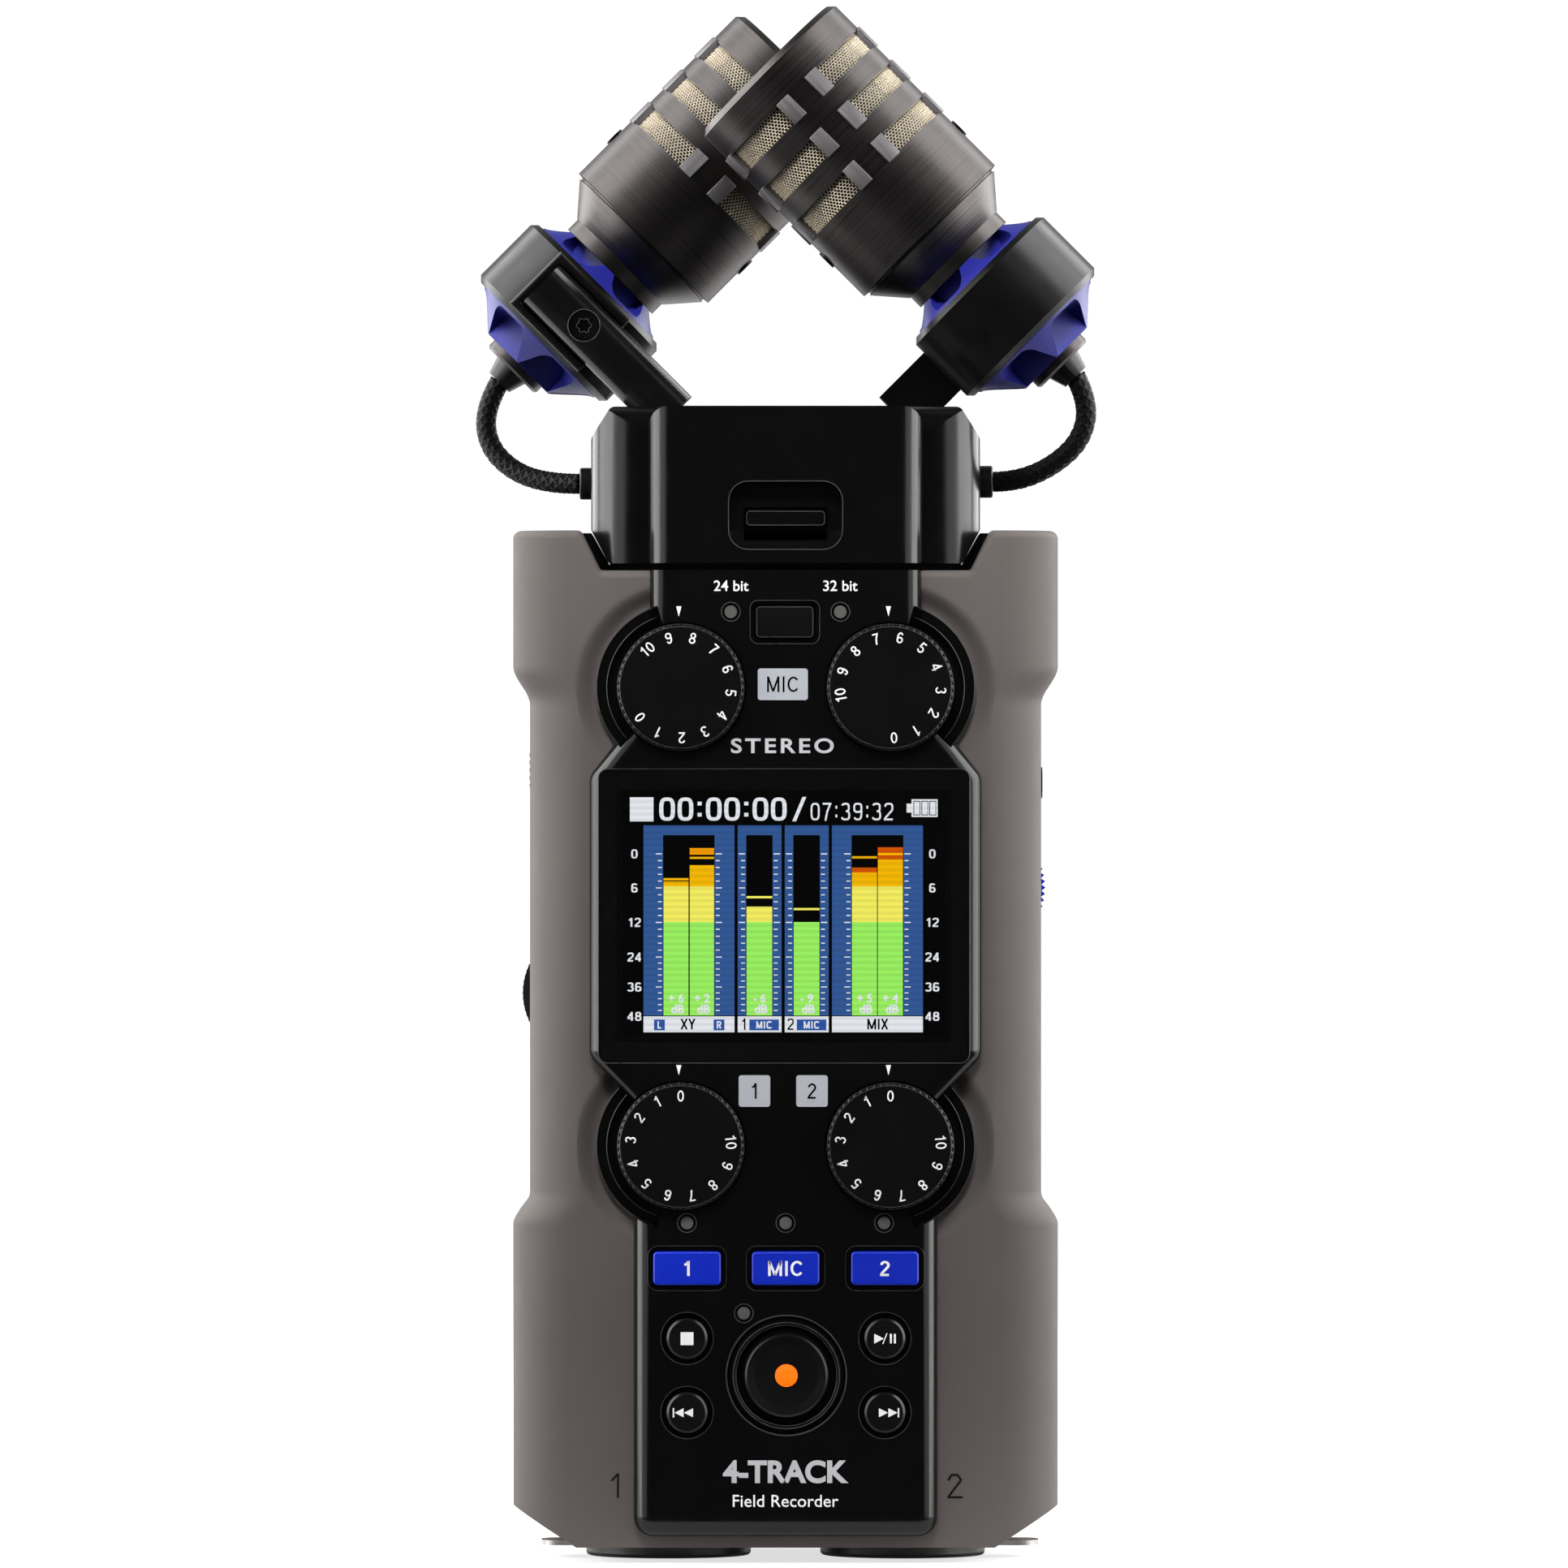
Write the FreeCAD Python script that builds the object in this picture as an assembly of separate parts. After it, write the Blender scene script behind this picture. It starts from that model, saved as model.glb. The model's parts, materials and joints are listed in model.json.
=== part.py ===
import FreeCAD, Part
import math
import os
from FreeCAD import Vector

# Portable field recorder with a removable crossed microphone module.
# +X is right, -Y is the front with the screen, +Z is up the long axis.
# The origin is under the middle of the body, level with the feet of the input jacks.
# Everything is in millimetres.

# Body shells
HALF_WIDE = 34.74        # half width of the top and bottom blocks
HALF_WAIST = 32.6        # half width of the waist
FRONT, BACK = -18.0, 21.0
CORNER_FRONT, CORNER_BACK = 7.0, 6.0
BASE_Z = 1.8
WAIST_LOW, WAIST_HIGH = 46.9, 108.9
STEP_LOW, STEP_HIGH = 42.7, 113.9
EAR_Z, NOTCH_Z = 131.1, 126.0
WALL, FRONT_WALL = 1.9, 2.4
PARTING_Y = 2.0
GAP = 0.15               # gap round parts that fit in an opening

# Raised front panel
PANEL_Y = -21.0
PANEL_HALF, PANEL_HALF_TOP, BEZEL_HALF = 19.3, 17.25, 24.9
SCREEN_X, SCREEN_Z, LENS_W, LENS_H = -0.2, 82.1, 46.9, 37.1

# Knobs: name, x, z
KNOB_R, KNOB_FACE_R, KNOB_FACE_Y, KNOB_BACK_Y = 8.05, 7.75, -22.6, -16.95
KNOBS = [
    ("knob_mic_left", -13.3, 111.1),
    ("knob_mic_right", 13.3, 111.1),
    ("knob_input_1", -13.3, 52.9),
    ("knob_input_2", 13.3, 52.9),
]
WELL_R, GROOVE_R, LEDGE_R, DISH_R = 8.35, 9.4, 10.8, 13.6
LEDGE_Y, WELL_FLOOR_Y, LEDGE_BACK_Y = -17.8, -16.6, -15.9
SPINDLE_R = 2.0

# Push buttons
TRAVEL = 0.6
CAP_Y = -21.35
STEM_END_Y = -15.7
ROUND_R, ROUND_RECESS_R = 2.6, 3.34
ROUND_BUTTONS = [
    ("stop_button", -12.5, 28.5),
    ("play_button", 12.6, 28.5),
    ("rewind_button", -12.5, 19.1),
    ("forward_button", 12.6, 19.1),
]
TRACK_KEYS = [
    ("track_key_1", -12.5, 37.4),
    ("track_key_mic", 0.0, 37.4),
    ("track_key_2", 12.6, 37.4),
]
KEY_W, KEY_H = 8.6, 4.3
FORMAT_X, FORMAT_Z, FORMAT_W, FORMAT_H = -0.1, 119.4, 7.4, 4.06
REC_X, REC_Z, REC_R, REC_FACE_R, REC_BEZEL_R = 0.1, 23.8, 6.15, 5.1, 7.75
DOT_R = 1.45
LEDS = [(-6.95, 120.7), (6.95, 120.7), (-12.5, 43.15), (0, 43.15), (12.5, 43.15), (-5.3, 31.7)]
LED_R, LED_RECESS_R = 0.78, 1.17

# Side controls
DIAL_R, DIAL_X, DIAL_Z, DIAL_Y0, DIAL_Y1 = 8.7, 24.55, 85.6, -6.0, 1.0
VOL_R, VOL_X, VOL_Z, VOL_Y0, VOL_Y1 = 8.5, -25.25, 72.1, -3.5, -0.5

LATCH_PIVOT_X, LATCH_PIVOT_Z = 26.82, 4.4

# Sockets
JACK_X, JACK_R, JACK_BORE_R, JACK_DEPTH = 15.0, 10.55, 3.2, 22.0
PHONES_Y, PHONES_Z, LINE_Z, MINI_BORE_R = -2.0, 58.0, 50.5, 1.78
TRIPOD_Z, TRIPOD_R, TRIPOD_DEPTH = 34.0, 3.175, 8.5
SPEAKER_Z, SPEAKER_R = 115.0, 8.6
CELL_R, CELL_L, CELL_PITCH, CELL_Y, CELL_Z = 7.25, 50.5, 14.8, 11.0, 50.5

# Microphone module
MOD_HALF, MOD_LOW, MOD_HIGH = 24.8, 126.9, 146.9
MOD_FRONT, MOD_BACK = -17.6, 20.6
MOD_CENTRE, MOD_ROLL = 17.4, 3.0
RING_X, RING_Y, RING_Z = 28.0, -12.4, 159.7
RING_R, RING_BORE_R, RING_HALF_L = 11.5, 10.3, 5.25
MIC_R, MIC_END = 11.8, 43.06
WINDOW_ROWS = [6.4, 12.3, 18.2]
WINDOW_ANGLES = [48, -42, -132, 138]
WINDOW_W, WINDOW_SPAN = 3.0, 68
ARM_LONG = 23.8
ARM_ROUND = 2.4
POCKETS = 6
POCKET_WIDE = 6.0
POCKET_FLOOR_R = 5.5
LEAD_R = 1.35
GLAND_Z, GLAND_Y = 137.5, -6.0
LEAD_RIGHT = [
    (36.98, -12.4, 150.72), (38.7, -12.2, 147.4), (37.7, -11.4, 142.6),
    (33.8, -9.4, 139.2), (29.3, -7.1, 137.5), (26.5, -6.0, 137.5),
]
LEAD_LEFT = [
    (-36.98, 12.4, 150.72), (-38.9, 12.2, 147.3), (-38.4, 11.6, 142.4),
    (-34.8, 9.9, 138.9), (-29.8, 7.3, 137.5), (-26.5, 6.0, 137.5),
]


def box(x0, x1, y0, y1, z0, z1):
    return Part.makeBox(x1 - x0, y1 - y0, z1 - z0, Vector(x0, y0, z0))


def rod(x, z, r, y0, y1):
    """A cylinder along Y."""
    return Part.makeCylinder(r, y1 - y0, Vector(x, y0, z), Vector(0, 1, 0))


def fuse(first, *rest):
    return first.multiFuse(list(rest)).removeSplitter()


def cut(base, *tools):
    return base.cut(list(tools))


def rounded_wire(points):
    """A closed wire through (point, corner radius) pairs that lie in one plane."""
    edges = []
    spans = []
    count = len(points)
    for i, (here, radius) in enumerate(points):
        before = points[i - 1][0]
        after = points[(i + 1) % count][0]
        back = (before - here).normalize()
        ahead = (after - here).normalize()
        if radius == 0:
            spans.append((here, None, here))
            continue
        half = back.getAngle(ahead) / 2
        reach = radius / math.tan(half)
        middle = here + (back + ahead).normalize() * (radius / math.sin(half) - radius)
        spans.append((here + back * reach, middle, here + ahead * reach))
    for i, (start, middle, end) in enumerate(spans):
        if middle is not None:
            edges.append(Part.Arc(start, middle, end).toShape())
        following = spans[(i + 1) % count][0]
        if end.distanceToPoint(following) > 1e-6:
            edges.append(Part.LineSegment(end, following).toShape())
    return Part.Wire(edges)


def plate(outline, y0, y1):
    """An (x, z, corner radius) outline, extruded along Y."""
    wire = rounded_wire([(Vector(x, y0, z), r) for x, z, r in outline])
    return Part.Face(wire).extrude(Vector(0, y1 - y0, 0))


def rect(x, z, w, h, r, y0, y1):
    """A rounded rectangle, extruded along Y."""
    corners = [(x - w / 2, z - h / 2, r), (x + w / 2, z - h / 2, r)]
    corners += [(x + w / 2, z + h / 2, r), (x - w / 2, z + h / 2, r)]
    return plate(corners, y0, y1)


def turned(profile, origin, axis, side):
    """A closed (along, radius) profile turned about an axis through origin."""
    points = [origin + axis * t + side * r for t, r in profile]
    face = Part.Face(Part.makePolygon(points + [points[0]]))
    return face.revolve(origin, axis, 360)


def turned_y(profile, x, z):
    """A (y, radius) profile turned about a line along Y."""
    return turned(profile, Vector(x, 0, z), Vector(0, 1, 0), Vector(1, 0, 0))


def mirrored(outline):
    """The right half of an outline, from bottom to top, with its left half added."""
    return outline + [(-x, z, r) for x, z, r in reversed(outline)]


def save(name, *shapes):
    shape = shapes[0] if len(shapes) == 1 else Part.makeCompound(list(shapes))
    shape.exportStep(f"parts/{name}.step")
    print(f"{name:18s} solids {len(shape.Solids):3d}  valid {shape.isValid()}  volume {shape.Volume:9.1f}")


# --- body shells ---------------------------------------------------------------------------

def section(half, inset, z):
    """The rounded body section at height z, moved inwards by inset."""
    front = FRONT + (FRONT_WALL if inset == WALL else inset)
    back = BACK - inset
    rf, rb = CORNER_FRONT - inset, CORNER_BACK - inset
    x = half - inset
    return rounded_wire([
        (Vector(-x, front, z), rf), (Vector(x, front, z), rf),
        (Vector(x, back, z), rb), (Vector(-x, back, z), rb),
    ])


def block(half, inset, z0, z1):
    return Part.Face(section(half, inset, z0)).extrude(Vector(0, 0, z1 - z0))


def step(inset, z0, z1, half0, half1):
    """The smooth change of width between two blocks."""
    wires = []
    for i in range(7):
        part = i / 6
        half = half0 + (half1 - half0) * (1 - math.cos(math.pi * part)) / 2
        wires.append(section(half, inset, z0 + (z1 - z0) * part))
    return Part.makeLoft(wires, True, False)


def body_form(inset, low, high):
    return fuse(
        block(HALF_WIDE, inset, low, STEP_LOW),
        step(inset, STEP_LOW, WAIST_LOW, HALF_WIDE, HALF_WAIST),
        block(HALF_WAIST, inset, WAIST_LOW, WAIST_HIGH),
        step(inset, WAIST_HIGH, STEP_HIGH, HALF_WAIST, HALF_WIDE),
        block(HALF_WIDE, inset, STEP_HIGH, high),
    )


def silhouette(inset):
    """The body's front outline: cut lower corners and the notch for the microphone module."""
    lower = BASE_Z + inset
    side = 40.0
    return mirrored([
        (26.6, lower, 0), (31.6, lower + 3.2, 3.0), (34.74 - inset, lower + 5.2, 1.5),
        (side, lower + 9, 0), (side, EAR_Z - inset, 0), (26.0 + inset, EAR_Z - inset, 0.8),
        (23.5, NOTCH_Z - inset, 0.5),
    ])


def make_cases():
    outer = body_form(0, BASE_Z, EAR_Z)
    outer = outer.common(plate(silhouette(0), -30, 30))
    rims = []
    for edge in outer.Edges:
        box_ = edge.BoundBox
        on_ear = abs(box_.ZMin - EAR_Z) < 0.01 and abs(box_.ZMax - EAR_Z) < 0.01
        if on_ear:
            rims.append(edge)
    outer = outer.makeFillet(1.0, rims)
    skin = outer.cut(body_form(0.5, BASE_Z, EAR_Z))
    groove = skin.common(box(-50, 50, PARTING_Y - 0.12, PARTING_Y + 0.12, -5, 140))
    inner = body_form(WALL, BASE_Z + WALL + 0.3, NOTCH_Z - 2)
    inner = inner.common(plate(silhouette(WALL), -30, 30))
    inner = inner.common(box(-50, 50, -50, 50, 0, NOTCH_Z - 2))
    outer = outer.cut(groove)
    shell = outer.cut(inner)

    openings = [box(-14.5, 14.5, -5.5, 5.5, NOTCH_Z - 3, NOTCH_Z + 1)]
    for x in (-JACK_X, JACK_X):
        openings.append(Part.makeCylinder(JACK_R - 0.8 + 0.1, 6, Vector(x, 0, 0)))
    for sign in (-1, 1):
        x0, x1 = sorted((sign * 25.9, sign * 29.4))
        openings.append(box(x0, x1, -4.6, 4.6, 0, 5.6))
    openings.append(rod(DIAL_X, DIAL_Z, DIAL_R + 0.4, DIAL_Y0 - 0.3, DIAL_Y1 + 0.3))
    openings.append(rod(VOL_X, VOL_Z, VOL_R + 0.4, VOL_Y0 - 0.3, VOL_Y1 + 0.3))
    openings.append(box(-36, -29, -3.3, 0.3, 95.6, 105.7))
    openings.append(box(-36, -29, -4.1, 0.1, 81.1, 90.9))
    openings.append(side_hole(PHONES_Z, 3.05, -1))
    openings.append(side_hole(LINE_Z, 3.05, -1))
    openings.append(Part.makeCylinder(2.25, 8, Vector(28, -2.5, 99), Vector(1, 0, 0)))
    openings.append(box(30.2, 36, -8.7, 1.2, 52.0, 75.2))
    openings.append(rod(0, TRIPOD_Z, 5.05, 12, 25))
    openings.append(box(-27.6, 27.6, 15, 30, 47.5, 104.5))
    for row in range(3):
        for col in range(7):
            openings.append(rod(2.2 * (col - 3), SPEAKER_Z + 2.4 * (row - 1), 0.6, 12, 25))
    shell = cut(shell, *openings)

    front = shell.common(box(-50, 50, -50, PARTING_Y, -5, 140))
    rear = shell.common(box(-50, 50, PARTING_Y, 50, -5, 140))

    windows = [rect(SCREEN_X, SCREEN_Z, 47.6, 37.6, 1, FRONT - 1, -10)]
    windows.append(rect(0, 29, 36, 34, 2, FRONT - 1, -10))
    windows.append(rect(0, 119.6, 17, 8, 1, FRONT - 1, -10))
    windows.append(rect(0, 108.5, 12, 20, 1, FRONT - 1, -10))
    windows.append(rect(0, 55.0, 12, 24, 1, FRONT - 1, -10))
    windows.append(rect(0, 102.0, 21, 4, 0.5, FRONT - 1, -10))
    windows.append(rect(0, 62.0, 22, 4, 0.5, FRONT - 1, -10))
    depth = 1.3
    dish = [(FRONT - 2, 0), (FRONT - 2, DISH_R)]
    for i in range(9):
        part = i / 8
        radius = DISH_R + (LEDGE_R - DISH_R) * part
        dish.append((FRONT + depth * (1 - math.cos(math.pi * part)) / 2, radius))
    dish += [(-10, LEDGE_R), (-10, 0)]
    for _, x, z in KNOBS:
        windows.append(turned_y(dish, x, z))
    for strokes in ENGRAVED:
        for start, end in strokes:
            windows.append(stroke(start, end))
    front = cut(front, *windows)
    bosses = []
    for x in (-29.3, 29.3):
        for z in (14.0, 119.0):
            hole = rod(x, z, 1.05, -6, PARTING_Y)
            bosses.append(rod(x, z, 2.8, FRONT + FRONT_WALL - 0.2, PARTING_Y).cut(hole))
    front = fuse(front, *bosses)

    rear_bosses = []
    for x in (-29.3, 29.3):
        for z in (14.0, 119.0):
            rear_bosses.append(rod(x, z, 2.8, PARTING_Y, BACK - WALL + 0.2))
    tray = box(-30.9, 30.9, PARTING_Y + 0.1, PARTING_Y + 1.2, 46.8, 104.9)
    ends = [box(-30.9, 30.9, PARTING_Y + 1.1, 19.3, 45.9, 47.0)]
    ends.append(box(-30.9, 30.9, PARTING_Y + 1.1, 19.3, 104.9, 106.0))
    rear = fuse(rear, tray, *ends, *rear_bosses)
    holes = []
    for x in (-29.3, 29.3):
        for z in (14.0, 119.0):
            holes.append(rod(x, z, 1.15, PARTING_Y - 1, BACK + 1))
            holes.append(rod(x, z, 2.1, BACK - 1.9, BACK + 1))
    rear = cut(rear, *holes)
    save("front_case", front)
    save("rear_case", rear)

    skin = outer.cut(inner)
    door = skin.common(box(-27.6 + GAP, 27.6 - GAP, 15, 30, 47.5 + GAP, 104.5 - GAP))
    grips = []
    for i in range(5):
        z = 100.5 - 1.5 * i
        grips.append(Part.makeCylinder(0.5, 14, Vector(-7, BACK + 0.2, z), Vector(1, 0, 0)))
    save("battery_door", cut(door, *grips))
    cover = skin.common(box(31.0, 36, -8.7 + GAP, 1.2 - GAP, 52.0 + GAP, 75.2 - GAP))
    low_edges = [e for e in cover.Edges if e.BoundBox.ZMax < 52.3 and e.BoundBox.YLength > 5]
    save("card_cover", cover.makeFillet(0.4, low_edges))


def side_hole(z, r, sign):
    return Part.makeCylinder(r, 8, Vector(sign * 28, PHONES_Y, z), Vector(sign, 0, 0))


def stroke(start, end):
    """One engraved line on the wing's front."""
    length = start.distanceToPoint(end)
    bar = Part.makeBox(length + 0.3, 1, 0.32, Vector(-0.15, -0.5, -0.16))
    angle = math.degrees(math.atan2(end.z - start.z, end.x - start.x))
    bar.rotate(Vector(0, 0, 0), Vector(0, 1, 0), -angle)
    bar.translate(Vector(start.x, FRONT - 0.25, start.z))
    return bar


def digit(x, points):
    places = [Vector(x + px, 0, 8.2 + pz) for px, pz in points]
    return list(zip(places[:-1], places[1:]))


ENGRAVED = [
    digit(-21.4, [(-0.7, 2.1), (0.1, 2.95), (0.1, 0)]),
    digit(21.5, [(-0.8, 2.2), (-0.4, 2.85), (0.35, 2.85), (0.8, 2.2), (-0.85, 0), (0.9, 0)]),
]


# --- front panel and screen ----------------------------------------------------------------

def make_panel():
    outline = mirrored([
        (PANEL_HALF, 3.3, 2.5), (PANEL_HALF, 58.4, 1.5), (BEZEL_HALF, 64.2, 2.5),
        (BEZEL_HALF, 99.9, 2.5), (PANEL_HALF_TOP, 109.6, 1.0), (PANEL_HALF_TOP, NOTCH_Z, 0),
    ])
    panel = plate(outline, PANEL_Y, FRONT)
    rims = []
    for edge in panel.Edges:
        bound = edge.BoundBox
        at_front = abs(bound.YMax - PANEL_Y) < 0.01
        at_top = abs(bound.ZMin - NOTCH_Z) < 0.01
        if at_front and not at_top:
            rims.append(edge)
    panel = panel.makeFillet(2.3, rims)
    for _, x, z in KNOBS:
        panel = panel.fuse(rod(x, z, LEDGE_R - 0.05, FRONT, LEDGE_BACK_Y))
    tools = []
    for _, x, z in KNOBS:
        sign = 1 if x > 0 else -1
        up = 1 if z > SCREEN_Z else -1
        tools.append(rod(x, z, WELL_R, PANEL_Y - 1, WELL_FLOOR_Y))
        tools.append(rod(x, z, 3.2, PANEL_Y - 1, 0))
        # the open side of the well, where the knob's edge can be reached
        wedge = Part.makePolygon([
            Vector(x, PANEL_Y - 1, z), Vector(x + sign * 4, PANEL_Y - 1, z + up * 14),
            Vector(x + sign * 16, PANEL_Y - 1, z + up * 14), Vector(x + sign * 16, PANEL_Y - 1, z - up * 14),
            Vector(x + sign * 14, PANEL_Y - 1, z - up * 14), Vector(x, PANEL_Y - 1, z),
        ])
        wedge = Part.Face(wedge).extrude(Vector(0, 10, 0))
        groove = rod(x, z, GROOVE_R, PANEL_Y - 1, WELL_FLOOR_Y)
        above = rod(x, z, LEDGE_R, PANEL_Y - 1, LEDGE_Y)
        tools.append(wedge.common(groove))
        tools.append(wedge.common(above))
    tools.append(rect(SCREEN_X, SCREEN_Z, LENS_W + 0.2, LENS_H + 0.2, 1.25, PANEL_Y - 1, PANEL_Y + 0.9))
    tools.append(rect(SCREEN_X, SCREEN_Z, 42.4, 32.0, 0.5, PANEL_Y - 1, 0))
    for _, x, z in ROUND_BUTTONS:
        tools.append(rod(x, z, ROUND_R + 0.2, PANEL_Y - 1, 0))
        recess = [(PANEL_Y - 0.1, 0), (PANEL_Y - 0.1, ROUND_RECESS_R + 0.1), (PANEL_Y + 0.7, ROUND_R + 0.3),
                  (PANEL_Y + 0.7, 0)]
        tools.append(turned_y(recess, x, z))
    for _, x, z in TRACK_KEYS:
        tools.append(rect(x, z, KEY_W + 0.4, KEY_H + 0.4, 0.8, PANEL_Y - 1, 0))
        tools.append(rect(x, z, KEY_W + 1.2, KEY_H + 1.5, 1.3, PANEL_Y - 1, PANEL_Y + 0.6))
    tools.append(rect(FORMAT_X, FORMAT_Z, FORMAT_W + 0.4, FORMAT_H + 0.4, 0.8, PANEL_Y - 1, 0))
    tools.append(rect(FORMAT_X, FORMAT_Z, FORMAT_W + 1.5, FORMAT_H + 1.24, 1.0, PANEL_Y - 1, PANEL_Y + 0.8))
    for x, z in LEDS:
        tools.append(rod(x, z, LED_R + 0.05, PANEL_Y - 1, 0))
        tools.append(rod(x, z, LED_RECESS_R, PANEL_Y - 1, PANEL_Y + 0.35))
    panel = cut(panel, *tools)
    bezel = turned_y([(PANEL_Y + 1, 6.3), (PANEL_Y - 0.1, 6.3), (PANEL_Y - 0.3, 6.5), (PANEL_Y - 0.3, 6.8),
                      (PANEL_Y + 0.2, 7.15), (PANEL_Y + 1, 7.15)], REC_X, REC_Z)
    pocket = turned_y([(PANEL_Y - 1, 0), (PANEL_Y - 1, REC_BEZEL_R + 0.35), (PANEL_Y, REC_BEZEL_R),
                       (PANEL_Y + 0.45, 7.3), (PANEL_Y + 0.45, 0)], REC_X, REC_Z)
    panel = panel.cut(pocket).fuse(bezel)
    panel = panel.cut(rod(REC_X, REC_Z, 6.3, PANEL_Y - 1, 0))
    save("front_panel", panel)

    lens = rect(SCREEN_X, SCREEN_Z, LENS_W, LENS_H, 1.15, PANEL_Y + 0.05, PANEL_Y + 0.85)
    save("screen_lens", lens)
    glass = rect(SCREEN_X, SCREEN_Z, 42.0, 31.6, 0.4, PANEL_Y + 1.0, FRONT + 0.1)
    frame = rect(SCREEN_X, SCREEN_Z, 47.0, 36.2, 0.6, FRONT + 0.1, FRONT + 2.3)
    save("lcd_module", fuse(glass, frame))


def make_controls():
    for name, x, z in KNOBS:
        profile = [
            (KNOB_FACE_Y, 0), (KNOB_FACE_Y, KNOB_FACE_R - 0.25), (KNOB_FACE_Y + 0.25, KNOB_FACE_R),
            (KNOB_FACE_Y + 1.0, KNOB_R), (KNOB_BACK_Y, KNOB_R), (KNOB_BACK_Y, SPINDLE_R + 0.05),
            (-20.8, SPINDLE_R + 0.05), (-20.8, 0),
        ]
        save(name, turned_y(profile, x, z))
    for name, x, z in ROUND_BUTTONS:
        profile = [(CAP_Y, 0), (CAP_Y, ROUND_R - 0.3), (CAP_Y + 0.3, ROUND_R), (FRONT + 0.1, ROUND_R),
                   (FRONT + 0.1, 3.4), (FRONT + 0.9, 3.4), (FRONT + 0.9, 1.2), (STEM_END_Y, 1.2),
                   (STEM_END_Y, 0)]
        save(name, turned_y(profile, x, z))
    keys = [(name, x, z, KEY_W, KEY_H) for name, x, z in TRACK_KEYS]
    keys.append(("format_button", FORMAT_X, FORMAT_Z, FORMAT_W, FORMAT_H))
    for name, x, z, w, h in keys:
        cap_y = CAP_Y if name != "format_button" else PANEL_Y + 0.15
        cap = rect(x, z, w, h, 0.6, cap_y, FRONT + 0.1)
        rims = [e for e in cap.Edges if abs(e.BoundBox.YMax - cap_y) < 0.01]
        cap = cap.makeFillet(0.3, rims)
        flange = rect(x, z, w + 1.0, h + 1.0, 0.6, FRONT + 0.1, FRONT + 0.9)
        save(name, fuse(cap, flange, rod(x, z, 1.2, FRONT + 0.9, STEM_END_Y)))
    rec = [
        (CAP_Y + 0.25, 0), (CAP_Y + 0.25, 1.8), (CAP_Y + 0.15, 4.0), (CAP_Y - 0.05, REC_FACE_R - 0.1),
        (CAP_Y + 0.1, REC_FACE_R + 0.15), (CAP_Y + 0.9, 5.75), (CAP_Y + 1.1, REC_R),
        (FRONT + 0.1, REC_R), (FRONT + 0.1, 6.9), (FRONT + 0.9, 6.9), (FRONT + 0.9, 1.6),
        (STEM_END_Y, 1.6), (STEM_END_Y, 0),
    ]
    button = turned_y(rec, REC_X, REC_Z).cut(rod(REC_X, REC_Z, DOT_R, CAP_Y - 1, CAP_Y + 1.6))
    save("record_button", button)
    dot = [(CAP_Y + 0.05, 0), (CAP_Y + 0.1, 0.8), (CAP_Y + 0.25, DOT_R - 0.02), (CAP_Y + 1.6, DOT_R - 0.02),
           (CAP_Y + 1.6, 0)]
    save("record_lens", turned_y(dot, REC_X, REC_Z))
    guides = [rod(x, z, LED_R, PANEL_Y + 0.12, FRONT + 1.5) for x, z in LEDS]
    save("light_guides", *guides)


# --- side controls -------------------------------------------------------------------------

def toothed(x, z, r, depth, count, y0, y1):
    """A wheel about Y with pointed teeth."""
    points = []
    for i in range(2 * count):
        radius = r if i % 2 == 0 else r - depth
        angle = math.pi * i / count
        points.append(Vector(x + radius * math.cos(angle), y0, z + radius * math.sin(angle)))
    return Part.Face(Part.makePolygon(points + [points[0]])).extrude(Vector(0, y1 - y0, 0))


def make_side_controls():
    dial = toothed(DIAL_X, DIAL_Z, DIAL_R, 0.5, 66, DIAL_Y0, DIAL_Y1)
    save("select_wheel", dial.cut(rod(DIAL_X, DIAL_Z, 1.55, DIAL_Y0 - 1, DIAL_Y1 + 1)))
    axle = rod(DIAL_X, DIAL_Z, 1.5, DIAL_Y0 - 0.5, DIAL_Y1 - 0.2)
    bracket = rect(DIAL_X - 0.5, DIAL_Z, 12, 11, 1, DIAL_Y0 - 1.6, DIAL_Y0 - 0.4)
    save("wheel_carriage", fuse(axle, bracket))
    grip = toothed(VOL_X, VOL_Z, VOL_R, 0.35, 72, VOL_Y0 + 0.5, VOL_Y1 - 0.5)
    rims = [rod(VOL_X, VOL_Z, VOL_R - 0.1, VOL_Y0, VOL_Y0 + 0.5)]
    rims.append(rod(VOL_X, VOL_Z, VOL_R - 0.1, VOL_Y1 - 0.5, VOL_Y1))
    wheel = fuse(grip, *rims)
    save("volume_wheel", wheel.cut(rod(VOL_X, VOL_Z, 1.55, -20, 20)))
    slider = box(-32.8, -30.8, -3.0, 0.0, 98.5, 102.8)
    ribs = [box(-33.2, -32.4, -3.1, 0.1, 98.9 + 1.0 * i, 99.35 + 1.0 * i) for i in range(4)]
    slider = slider.cut(ribs)
    save("power_slider", fuse(slider, box(-30.8, -30.0, -1.9, -1.1, 99.6, 101.6)))
    button = Part.makeCylinder(2.0, 3.0, Vector(29.9, -2.5, 99), Vector(1, 0, 0))
    save("menu_button", button)


def make_latch_tabs():
    for name, sign, tip in (("latch_tab_1", -1, 31.3), ("latch_tab_2", 1, 32.4)):
        x0, x1 = sorted((sign * 26.5, sign * tip))
        tab = box(x0, x1, -3.9, 3.9, 1.35, 2.0)
        corners = [e for e in tab.Edges if abs(abs(e.BoundBox.XMin) - tip) < 0.01
                   and abs(abs(e.BoundBox.XMax) - tip) < 0.01 and e.BoundBox.ZLength > 0.5]
        tab = tab.makeFillet(2.2, corners)
        x0, x1 = sorted((sign * 26.5, sign * 27.15))
        pin = rod(sign * LATCH_PIVOT_X, LATCH_PIVOT_Z, 0.7, -4.3, 4.3)
        save(name, fuse(tab, box(x0, x1, -3.9, 3.9, 1.35, 4.9), pin))


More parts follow.
